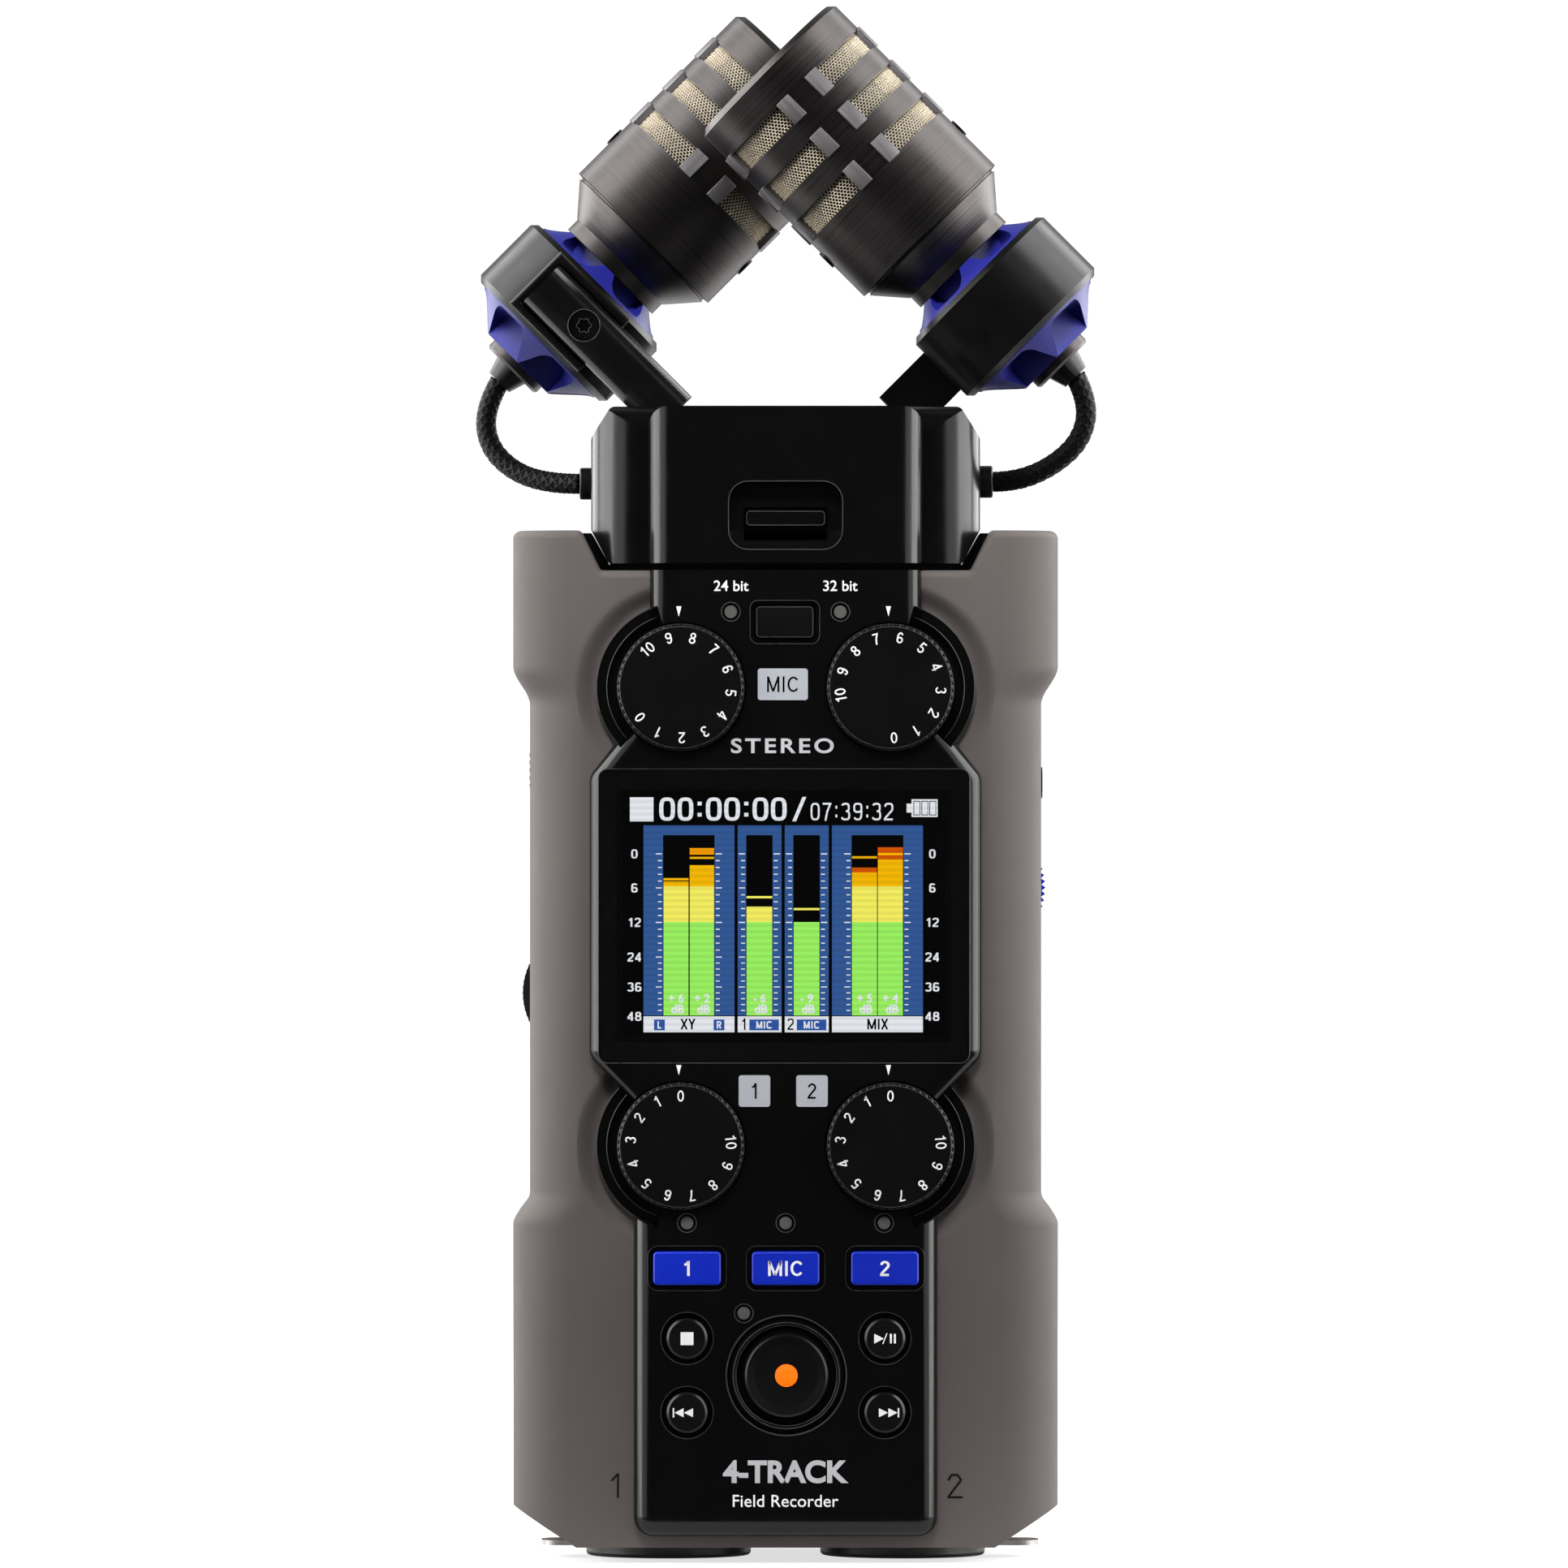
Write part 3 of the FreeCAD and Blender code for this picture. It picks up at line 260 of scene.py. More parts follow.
BRUSHED = {
    # slot: colour, roughness, direction the lines run round, metallic, depth of the lines
    "mesh_metal": ((0.60, 0.53, 0.42), 0.4, (0, 1, 0), 0.35, 0.000002),
    "latch_steel": ((0.4, 0.39, 0.37), 0.36, (1, 0, 0)),
    "contact_metal": ((0.75, 0.58, 0.28), 0.25, (0, 0, 1)),
    "pot_metal": ((0.5, 0.5, 0.5), 0.35, (0, 1, 0)),
    "spring_steel": ((0.6, 0.6, 0.58), 0.3, (0, 0, 1)),
    "socket_metal": ((0.17, 0.17, 0.17), 0.5, (1, 0, 0)),
    "insert_brass": ((0.22, 0.17, 0.095), 0.3, (0, 1, 0)),
    "screw_black": ((0.03, 0.03, 0.03), 0.35, (0, 1, 0)),
}
LOOKS = {slot: moulded(slot, *values) for slot, values in MOULDED.items()}
LOOKS.update({slot: brushed(slot, *values) for slot, values in BRUSHED.items()})
LOOKS["screen_window"] = clear("screen_window")
MIC_COLOUR = (0.075, 0.069, 0.067)
MIC_LOOKS = {
    "mic_" + side: brushed("mic_black_" + side, MIC_COLOUR, 0.36, tuple(axis), depth=0.000016)
    for side, axis in (("right", MIC_RIGHT_AXIS), ("left", MIC_LEFT_AXIS))
}
TAB_LOOK = brushed("mic_tab", (0.15, 0.142, 0.145), 0.4, (0, 1, 0), 0.6, 0.000004)
PRINT_GREY = moulded("print_grey", (0.42, 0.42, 0.44), 0.45, 4000.0, 0.000004, change=0.03)
ENGRAVED_LOOK = moulded("engraved", (0.012, 0.011, 0.01), 0.6, 4000.0, 0.000004, 0.1)
# painted highlight: fine edges get a grey far lighter than the black parts they sit on, standing in for
# the light that their broken edges catch
EDGE_HIGHLIGHT_LOOK = moulded("edge_painted_highlight", (0.045, 0.044, 0.045), 0.3, 2600.0, 0.000002)
RECORD_GLOW = shader_of(LOOKS["record_orange"])
RECORD_GLOW.inputs["Emission Color"].default_value = (1.0, 0.14, 0.002, 1)
RECORD_GLOW.inputs["Emission Strength"].default_value = 0.55


def dress_frame():
    """Every CAD node gets the look of its slot, and each microphone lines round its own axis."""
    for row in frame["record"]["subparts"]:
        piece = frame["nodes"][row["node"]]
        look = MIC_LOOKS.get(row["node"]) or LOOKS[row["material_slot"]]
        piece.data.materials.clear()
        piece.data.materials.append(look)


# --- mesh helpers ---

def skin(rings, sides):
    """Faces between rings of points that follow each other."""
    faces = []
    for i in range(rings - 1):
        for k in range(sides):
            n = (k + 1) % sides
            faces.append([i * sides + k, i * sides + n, (i + 1) * sides + n, (i + 1) * sides + k])
    return faces


class Shape:
    """Points and faces that grow piece by piece, then become one object."""

    def __init__(self):
        self.points = []
        self.faces = []
        self.looks = []

    def add(self, points, faces, look=0):
        start = len(self.points)
        self.points += [tuple(p) for p in points]
        self.faces += [[start + i for i in face] for face in faces]
        self.looks += [look] * len(faces)

    def slab(self, outline, depth, direction, look=0):
        """A flat plate: an outline of points, pushed by depth along direction."""
        count = len(outline)
        back = [Vector(p) + Vector(direction) * depth for p in outline]
        faces = [list(range(count)), list(range(2 * count - 1, count - 1, -1))]
        for i in range(count):
            j = (i + 1) % count
            faces.append([i, i + count, j + count, j])
        self.add([Vector(p) for p in outline] + back, faces, look)

    def tube(self, path, radius, sides, flat=1.0, frames=None):
        """A closed tube along points; flat squeezes it along its normal."""
        normals = frames or frames_of(path)
        points = []
        for place, (normal, across) in zip(path, normals):
            for k in range(sides):
                turn = 2 * math.pi * k / sides
                raised = place + normal * (radius * flat * math.cos(turn))
                points.append(raised + across * (radius * math.sin(turn)))
        faces = skin(len(path), sides)
        last = (len(path) - 1) * sides
        faces.append(list(range(sides - 1, -1, -1)))
        faces.append([last + k for k in range(sides)])
        self.add(points, faces)

    def build(self, name, looks, body, smooth=None):
        mesh = bpy.data.meshes.new(name)
        mesh.from_pydata(self.points, [], self.faces)
        for look in looks:
            mesh.materials.append(look)
        mesh.polygons.foreach_set("material_index", self.looks)
        mesh.validate()
        piece = added(name, mesh)
        if smooth is not None:
            mesh.shade_smooth()
            mesh.set_sharp_from_angle(angle=math.radians(smooth))
        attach(piece, body)
        return piece


def frames_of(path):
    """A normal and a binormal at each point of a path, with no twist."""
    ahead = [(b - a).normalized() for a, b in zip(path, path[1:])]
    ahead.append(ahead[-1])
    start = Vector((0, 1, 0))
    if abs(ahead[0].dot(start)) > 0.9:
        start = Vector((0, 0, 1))
    normal = (start - ahead[0] * start.dot(ahead[0])).normalized()
    out = []
    for heading in ahead:
        normal = (normal - heading * normal.dot(heading)).normalized()
        out.append((normal, heading.cross(normal)))
    return out


def lathe(shape, profile, origin, axis, side, steps, knurl=None):
    """A profile of (along, radius) turned about an axis; knurl changes the radius by angle."""
    other = axis.cross(side)
    points = []
    for t, r in profile:
        for k in range(steps):
            turn = 2 * math.pi * k / steps
            radius = r + (knurl(k, t, r) if knurl else 0)
            points.append(origin + axis * t + (side * math.cos(turn) + other * math.sin(turn)) * radius)
    shape.add(points, skin(len(profile), steps))


def rounded_outline(width, height, radius, y, x=0.0, z=0.0):
    """Points of a rounded rectangle in a plane that faces the front."""
    steps = 6
    points = []
    corners = [(1, 1, 0), (-1, 1, 90), (-1, -1, 180), (1, -1, 270)]
    for sx, sz, start in corners:
        cx, cz = x + sx * (width / 2 - radius), z + sz * (height / 2 - radius)
        for k in range(steps + 1):
            turn = math.radians(start + 90 * k / steps)
            points.append(Vector((cx + radius * math.cos(turn), y, cz + radius * math.sin(turn))))
    return points


# --- printed text ---

def glyphs(words, height, bold=0.0, spacing=1.0, width=1.0):
    """Flat triangles of a line of text, centred, with capitals of that height, in metres."""
    curve = bpy.data.curves.new("line", "FONT")
    curve.body = words
    curve.align_x = "CENTER"
    curve.offset = bold
    curve.space_character = spacing
    curve.resolution_u = 5
    piece = added("line", curve)
    mesh = evaluated_mesh(piece)
    points = np.array([v.co[:2] for v in mesh.vertices])
    faces = [list(p.vertices) for p in mesh.polygons]
    bpy.data.objects.remove(piece)
    bpy.data.meshes.remove(mesh)
    bpy.data.curves.remove(curve)
    scale = height / CAPITAL
    points = points * [scale * width, scale]
    points[:, 0] -= (points[:, 0].min() + points[:, 0].max()) / 2
    points[:, 1] -= height / 2
    return points, faces


def capital_height():
    curve = bpy.data.curves.new("probe", "FONT")
    curve.body = "H"
    piece = added("probe", curve)
    bpy.context.view_layer.update()
    tall = piece.dimensions.y
    bpy.data.objects.remove(piece)
    bpy.data.curves.remove(curve)
    return tall


CAPITAL = capital_height()
INK = 0.02 * MM     # thickness of printed marks


def write(shape, words, x, z, y, height, look=0, thick=INK, **style):
    """Raised ink that faces the front: text centred at (x, z) on the plane y."""
    points, faces = glyphs(words, height, **style)
    flat = [(x + px, z + pz) for px, pz in points]
    count = len(flat)
    front = [(px, y - thick, pz) for px, pz in flat]
    back = [(px, y, pz) for px, pz in flat]
    sides = []
    edges = {}
    for face in faces:
        for a, b in zip(face, face[1:] + face[:1]):
            edges[(a, b)] = edges.get((a, b), 0) + 1
    for a, b in edges:
        if (b, a) not in edges:
            sides.append([a, a + count, b + count, b])
    shape.add(front + back, faces + sides, look)


def patch(shape, outline, y, look=0, thick=INK):
    """A flat printed mark with an outline of (x, z) points, counter-clockwise seen from the front."""
    shape.slab([(x, y - thick, z) for x, z in outline], thick, BACK, look)


def bar(shape, x0, x1, z0, z1, y, look=0, thick=INK):
    patch(shape, [(x0, z0), (x1, z0), (x1, z1), (x0, z1)], y, look, thick)


# --- text drawn with a pen of even width ---

def arc(cx, cy, rx, ry, start, end, steps, square):
    """Part of an ellipse, or of a squarer oval when square is under 1."""
    points = []
    for k in range(steps + 1):
        turn = math.radians(start + (end - start) * k / steps)
        c, s = math.cos(turn), math.sin(turn)
        across = rx * math.copysign(abs(c) ** square, c)
        points.append((cx + across, cy + ry * math.copysign(abs(s) ** square, s)))
    return points


def pen_strokes(square):
    """Strokes of each numeral and letter in a box one unit tall."""
    six = [arc(0.28, 0.295, 0.205, 0.225, 0, 360, 20, square),
           arc(0.285, 0.5, 0.21, 0.43, 185, 38, 12, square)]
    nine = [[(0.56 - x, 1 - y) for x, y in line] for line in six]
    return {
        "0": (0.56, [arc(0.28, 0.5, 0.21, 0.43, 0, 360, 28, square)]),
        "1": (0.46, [[(0.31, 0), (0.31, 1)], [(0.07, 0.745), (0.2, 0.78), (0.3, 0.97)]]),
        "2": (0.56, [arc(0.28, 0.72, 0.205, 0.21, 175, -42, 12, square) + [(0.09, 0.16), (0.07, 0.07)],
                     [(0.0, 0.07), (0.51, 0.07)]]),
        "3": (0.56, [arc(0.265, 0.725, 0.19, 0.205, 160, -88, 12, square),
                     arc(0.265, 0.295, 0.215, 0.225, 88, -162, 12, square)]),
        "4": (0.56, [[(0.39, 0), (0.39, 1)], [(0.39, 0.93), (0.05, 0.31)],
                     [(0.0, 0.27), (0.53, 0.27)]]),
        "5": (0.56, [[(0.49, 0.93), (0.12, 0.93)], [(0.15, 0.98), (0.09, 0.45)],
                     arc(0.27, 0.31, 0.215, 0.24, 140, -160, 14, square)]),
        "6": (0.56, six),
        "7": (0.54, [[(0.02, 0.93), (0.52, 0.93)], [(0.46, 0.93), (0.28, 0.5), (0.18, 0)]]),
        "8": (0.56, [arc(0.28, 0.735, 0.18, 0.195, 0, 360, 20, square),
                     arc(0.28, 0.285, 0.21, 0.215, 0, 360, 20, square)]),
        "9": (0.56, nine),
        ":": (0.26, [[(0.13, 0.18), (0.13, 0.34)], [(0.13, 0.66), (0.13, 0.82)]]),
        "M": (0.82, [[(0.08, 0), (0.08, 1)], [(0.74, 0), (0.74, 1)], [(0.08, 0.97), (0.41, 0.05)],
                     [(0.41, 0.05), (0.74, 0.97)]]),
        "I": (0.24, [[(0.12, 0), (0.12, 1)]]),
        "C": (0.72, [arc(0.37, 0.5, 0.31, 0.43, 38, 322, 22, square)]),
        "X": (0.6, [[(0.04, 0), (0.56, 1)], [(0.04, 1), (0.56, 0)]]),
        "Y": (0.6, [[(0.3, 0), (0.3, 0.5)], [(0.3, 0.46), (0.04, 1)], [(0.3, 0.46), (0.56, 1)]]),
        "L": (0.5, [[(0.08, 0), (0.08, 1)], [(0.0, 0.08), (0.5, 0.08)]]),
        "R": (0.6, [[(0.08, 0), (0.08, 1)], [(0.3, 0.5), (0.54, 0)],
                    [(0.08, 0.93)] + arc(0.3, 0.71, 0.22, 0.22, 90, -90, 12, square) + [(0.08, 0.49)]]),
    }


ROUND_PEN = pen_strokes(1.0)
SQUARE_PEN = pen_strokes(0.62)


def ribbon(shape, line, width, place, thick, look):
    """A flat stroke along a line of points."""
    count = len(line)
    sides = []
    closed = math.dist(line[0], line[-1]) < 1e-6
    for i in range(count):
        before = line[i - 1] if i else (line[-2] if closed else line[0])
        after = line[i + 1] if i < count - 1 else (line[1] if closed else line[-1])
        dx, dz = after[0] - before[0], after[1] - before[1]
        size = math.hypot(dx, dz)
        sides.append((-dz / size * width / 2, dx / size * width / 2))
    rows = []
    for depth in (-thick, 0.0):
        for sign in (1, -1):
            edge = [(x + sign * nx, z + sign * nz) for (x, z), (nx, nz) in zip(line, sides)]
            rows.append([place(x, z, depth) for x, z in edge])
    points = rows[0] + rows[1] + rows[2] + rows[3]
    faces = []
    for i in range(count - 1):
        faces.append([i, i + 1, count + i + 1, count + i])
        faces.append([i, 2 * count + i, 2 * count + i + 1, i + 1])
        faces.append([count + i, count + i + 1, 3 * count + i + 1, 3 * count + i])
    shape.add(points, faces, look)


def pen(shape, words, x, z, y, height, look=0, turn=0.0, weight=0.15, gap=0.13, narrow=1.0,
        font=ROUND_PEN, thick=INK):
    """Text drawn with strokes, centred at (x, z) on the plane y."""
    total = sum(font[c][0] for c in words) + gap * (len(words) - 1)
    at = -total / 2
    c, s = math.cos(turn), math.sin(turn)
    for letter in words:
        wide, lines = font[letter]
        left = at

        def place(px, pz, depth):
            u, v = (px + left) * height * narrow, (pz - 0.5) * height
            return (x + u * c - v * s, y + depth, z + u * s + v * c)

        for line in lines:
            ribbon(shape, line, weight, place, thick, look)
        at += wide + gap


# --- fine edges, light grey as painted highlights ---

def bead(shape, outline, radius=0.07 * MM, look=0):
    """A thin rounded edge that follows a closed outline."""
    count = len(outline)
    points, faces = [], []
    sides = 6
    for i, here in enumerate(outline):
        run = (outline[(i + 1) % count] - outline[i - 1]).normalized()
        across = run.cross(OUT)
        for k in range(sides):
            turn = 2 * math.pi * k / sides
            points.append(here + across * (radius * math.cos(turn)) + OUT * (radius * math.sin(turn)))
    for i in range(count):
        j = (i + 1) % count
        for k in range(sides):
            n = (k + 1) % sides
            faces.append([i * sides + k, j * sides + k, j * sides + n, i * sides + n])
    shape.add(points, faces, look)


def circle(x, y, z, radius, steps=40):
    """Points of a circle that faces the front."""
    turns = [2 * math.pi * k / steps for k in range(steps)]
    return [Vector((x + radius * math.cos(t), y, z + radius * math.sin(t))) for t in turns]


def box_outline(node, grow, radius, y):
    wide = high(node).x - low(node).x + 2 * grow
    tall = high(node).z - low(node).z + 2 * grow
    return rounded_outline(wide, tall, radius, y, middle(node).x, middle(node).z)


# the numeral at each knob's mark, at rest
KNOB_SETTINGS = {"knob_mic_left": 8.5, "knob_mic_right": 6.4, "knob_input_1": 0.0, "knob_input_2": 0.0}
# (x, z) of the small lamps, in millimetres
LED_PLACES = [(-6.95, 120.7), (6.95, 120.7), (-12.5, 43.15), (0, 43.15), (12.5, 43.15), (-5.3, 31.7)]
LED_EDGE = 1.2 * MM
OPENINGS = [
    # node, how far its opening stands off, corner radius, radius of the edge, in millimetres
    ("screen_lens", 0.12, 1.25, 0.05),
    ("track_key_1", 0.18, 1.3, 0.04),
    ("track_key_mic", 0.18, 1.3, 0.04),
    ("track_key_2", 0.18, 1.3, 0.04),
    ("format_button", 0.22, 1.0, 0.05),
]
ROUND_BUTTONS = ("stop_button", "play_button", "rewind_button", "forward_button")
ROUND_OPENING = 3.34 * MM
# the record button's rings are beads in the light edge grey, painted highlights
RECORD_RINGS = [
    # radius, how far it stands out, radius of the edge, in millimetres
    (7.62, 0.0, 0.1), (6.72, 0.28, 0.09), (6.4, 0.2, 0.06),
]
WELL_EDGES = (9.42, 10.72)     # radii in millimetres of the band round a knob's well
WELL_DEEP = 3.18 * MM


def knob_well(shape, name):
    """Two thin lines along the edges of the sloped band on the outer side of a knob, painted highlights
    in the light edge grey.
    """
    centre = middle(name)
    outward = math.copysign(1, centre.x)
    upward = math.copysign(1, centre.z - SCREEN_MIDDLE.z)
    for radius in WELL_EDGES:
        path = []
        for a in range(-43, 73, 3):
            x = centre.x + outward * radius * MM * math.cos(math.radians(a))
            z = centre.z + upward * radius * MM * math.sin(math.radians(a))
            path.append(Vector((x, PANEL_Y + WELL_DEEP, z)))
        shape.tube(path, 0.06 * MM, 6)


def make_panel_edges():
    """The fine broken edges round the panel's openings, as thin beads in a light grey that paints the
    highlight they catch.
    """
    y = PANEL_Y + 0.03 * MM
    shape = Shape()
    for x, z in LED_PLACES:
        bead(shape, circle(x * MM, y, z * MM, LED_EDGE))
    for name, off, corner, edge in OPENINGS:
        bead(shape, box_outline(name, off * MM, corner * MM, y), edge * MM)
    for name in ROUND_BUTTONS:
        centre = middle(name)
        bead(shape, circle(centre.x, y, centre.z, ROUND_OPENING), 0.05 * MM)
    record = middle("record_button")
    for radius, lift, edge in RECORD_RINGS:
        bead(shape, circle(record.x, y - lift * MM, record.z, radius * MM, 96), edge * MM)
    for name in KNOB_SETTINGS:
        knob_well(shape, name)
    shape.build("panel_edge_highlights", [EDGE_HIGHLIGHT_LOOK], "recorder", 60)


def make_edge(name, outline, radius, body):
    """One fine edge that is a piece of its own, in the light grey of a painted highlight."""
    shape = Shape()
    bead(shape, outline, radius)
    shape.build(name, [EDGE_HIGHLIGHT_LOOK], body, 60)


def make_moving_edges():
    """The fine edges of the format button, the module's scoop and the release latch, light grey as
    painted highlights.
    """
    outline = box_outline("format_button", -0.62 * MM, 0.5 * MM, low("format_button").y + 0.05 * MM)
    make_edge("format_edge_highlight", outline, 0.06 * MM, "format_button")
    front = low("module_shell").y + 0.03 * MM
    outline = rounded_outline(14.5 * MM, 8.7 * MM, 2.5 * MM, front, 0, 132.95 * MM)
    make_edge("scoop_edge_highlight", outline, 0.07 * MM, "mic_module")
    front = low("release_latch").y + 0.02 * MM
    outline = rounded_outline(9.9 * MM, 1.75 * MM, 0.45 * MM, front, 0, 132.6 * MM)
    make_edge("latch_edge_highlight", outline, 0.06 * MM, "release_latch")


ENGRAVED = [
    # the 1 on the left wing and the 2 on the right one
    [(-22.1, 10.3), (-21.3, 11.15), (-21.3, 8.2)],
    [(20.7, 10.4), (21.1, 11.05), (21.85, 11.05), (22.3, 10.4), (20.65, 8.2), (22.4, 8.2)],
]
ENGRAVED_DEEP = 0.2 * MM


def make_engraving():
    """The dark floor of the two numerals cut into the wings."""
    shape = Shape()
    y = low("front_case").y + ENGRAVED_DEEP
    for line in ENGRAVED:
        places = [Vector((x * MM, y, z * MM)) for x, z in line]
        for stroke in zip(places, places[1:]):
            shape.tube(stroke, 0.15 * MM, 6, flat=0.3)
    shape.build("engraved_numerals", [ENGRAVED_LOOK], "recorder", 60)


SCREW_AT = (25.8, 5.6, 157.5)      # clamp screw: sideways, forward or back, up, in millimetres
SOCKET_DEEP = 0.2 * MM


def make_clamp_detail():
    """Rings and a six-lobed socket on the two clamp screws: the outer ring and the socket's outline are
    light grey painted highlights, and the inner ring is black screw metal.
    """
    shape = Shape()
    for side in (-1, 1):
        x, y, z = side * SCREW_AT[0] * MM, side * SCREW_AT[1] * MM, SCREW_AT[2] * MM
        bead(shape, circle(x, y, z, 2.05 * MM))
        y -= side * SOCKET_DEEP
        bead(shape, circle(x, y, z, 1.78 * MM), 0.05 * MM, 1)
        lobes = []
        for k in range(48):
            turn = 2 * math.pi * k / 48
            reach = (0.86 + 0.13 * math.cos(6 * turn)) * MM
            lobes.append(Vector((x + reach * math.cos(turn), y, z + reach * math.sin(turn))))
        bead(shape, lobes, 0.05 * MM)
    shape.build("clamp_rings", [EDGE_HIGHLIGHT_LOOK, LOOKS["screw_black"]], "mic_module", 60)


NOTCH_GAP = [
    # (x, z) outline of the gap between the notch's flank and the module, in millimetres
    (26.4, 130.85), (23.9, 125.7), (21.2, 125.7), (21.2, 126.84), (22.56, 126.84), (24.79, 130.85),
]
NOTCH_STRIP_FRONT, NOTCH_STRIP_DEEP = -11 * MM, 25 * MM


def make_notch_seal():
    """Dark strips on the flanks of the body's notch, which fill its gap to the module."""
    shape = Shape()
    for side in (-1, 1):
        outline = [Vector((side * x * MM, NOTCH_STRIP_FRONT, z * MM)) for x, z in NOTCH_GAP]
        if side > 0:
            outline.reverse()
        shape.slab(outline, NOTCH_STRIP_DEEP, BACK)
    shape.build("notch_dark_strip", [LOOKS["panel_plastic"]], "recorder")


# --- gain knobs ---

MARK_STEP = math.radians(27.5)
MARK_R = 6.4 * MM
KNOB_TEETH = 52
POINTS_PER_TOOTH = 8
TOOTH_DEPTH = 0.26 * MM
TOOTH_END = 4.9 * MM       # how far back from the face the teeth reach
FACE_R = 7.72 * MM
FACE_THICK = 1.8 * MM
BORE_R = 2.1 * MM


def make_knob(name, setting):
    """A toothed knob with its numerals, turned so that the setting is at the top."""
    centre = middle(name)
    face_y = low(name).y
    deep = high(name).y - face_y
    skirt = (high(name).x - low(name).x) / 2
    origin = Vector((centre.x, face_y, centre.z))

    def teeth(k, t, r):
        if r < skirt - 0.12 * MM or t > TOOTH_END:
            return 0.0
        return -TOOTH_DEPTH * (0.5 - 0.5 * math.cos(2 * math.pi * k / POINTS_PER_TOOTH)) ** 2

    profile = [
        (0, 0), (0, 3.0 * MM), (0, 7.3 * MM), (0, FACE_R - 0.12 * MM),
        (0.02 * MM, FACE_R - 0.05 * MM), (0.09 * MM, FACE_R), (0.22 * MM, FACE_R + 0.02 * MM),
        (0.3 * MM, skirt - 0.12 * MM), (0.42 * MM, skirt - 0.02 * MM), (0.6 * MM, skirt),
        (2.8 * MM, skirt), (4.85 * MM, skirt), (5.0 * MM, skirt - 0.3 * MM), (deep, skirt - 0.3 * MM),
        (deep, BORE_R), (FACE_THICK, BORE_R), (FACE_THICK, 0),
    ]
    shape = Shape()
    lathe(shape, profile, origin, BACK, RIGHT, KNOB_TEETH * POINTS_PER_TOOTH, teeth)
    piece = shape.build(name + "_body", [LOOKS["knob_plastic"]], name, 32)
    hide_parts(name)
    marks = Shape()
    for number in range(11):
        turn = (number - setting) * MARK_STEP
        x = centre.x - MARK_R * math.sin(turn)
        z = centre.z + MARK_R * math.cos(turn)
        pen(marks, str(number), x, z, face_y, 1.42 * MM, turn=turn, weight=0.125, narrow=1.08)
    # thin rings at the edges of the face and the skirt, light grey as painted highlights
    bead(marks, circle(centre.x, face_y + 0.05 * MM, centre.z, FACE_R - 0.02 * MM, 96), 0.05 * MM, 1)
    bead(marks, circle(centre.x, face_y + 0.6 * MM, centre.z, skirt - 0.04 * MM, 96), 0.05 * MM, 1)
    marks.build(name + "_numbers", [LOOKS["print_white"], EDGE_HIGHLIGHT_LOOK], name)


# --- printing on the panel and buttons ---

BADGES = [("MIC", -0.35, 111.5, 6.35), ("1", -3.95, 59.9, 4.0), ("2", 3.35, 59.9, 4.0)]
BADGE_TALL, BADGE_THICK = 4.0 * MM, 0.03 * MM


def make_panel_print():
    ink = Shape()
    y = PANEL_Y
    for words, x in (("24 bit", -6.9), ("32 bit", 6.95)):
        write(ink, words, x * MM, 124.0 * MM, y, 1.3 * MM, bold=0.01)
    write(ink, "STEREO", -0.4 * MM, 103.7 * MM, y, 1.75 * MM, 1, bold=0.02, spacing=1.25, width=1.25)
    write(ink, "4-TRACK", 0, 11.6 * MM, y, 2.6 * MM, 1, bold=0.035)
    write(ink, "Field Recorder", 0, 7.9 * MM, y, 1.5 * MM, bold=0.004, spacing=1.02)
    for name in KNOB_SETTINGS:
        x, z = middle(name).x - 0.25 * MM, high(name).z + 0.95 * MM
        patch(ink, [(x - 0.33 * MM, z + 1.3 * MM), (x, z), (x + 0.33 * MM, z + 1.3 * MM)], y)
    ink.build("panel_print", [LOOKS["print_white"], PRINT_GREY], "recorder")

    badges = Shape()
    front = y - BADGE_THICK
    for words, x, z, wide in BADGES:
        outline = rounded_outline(wide * MM, BADGE_TALL, 0.35 * MM, front, x * MM, z * MM)
        badges.slab(outline, BADGE_THICK, BACK)
        pen(badges, words, x * MM, z * MM, front, 2.0 * MM, look=1, weight=0.12)
    badges.build("badges", [LOOKS["badge_grey"], LOOKS["panel_plastic"]], "recorder")


def icon(name, draw):
    """A white mark on a button's face."""
    mark = Shape()
    draw(mark, middle(name).x, middle(name).z, low(name).y)
    mark.build(name + "_mark", [LOOKS["print_white"]], name)


def triangle(shape, x, z, y, size, pointing):
    outline = [(x - pointing * size * 0.45, z - size / 2), (x + pointing * size * 0.55, z),
               (x - pointing * size * 0.45, z + size / 2)]
    if pointing < 0:
        outline.reverse()
    patch(shape, outline, y)


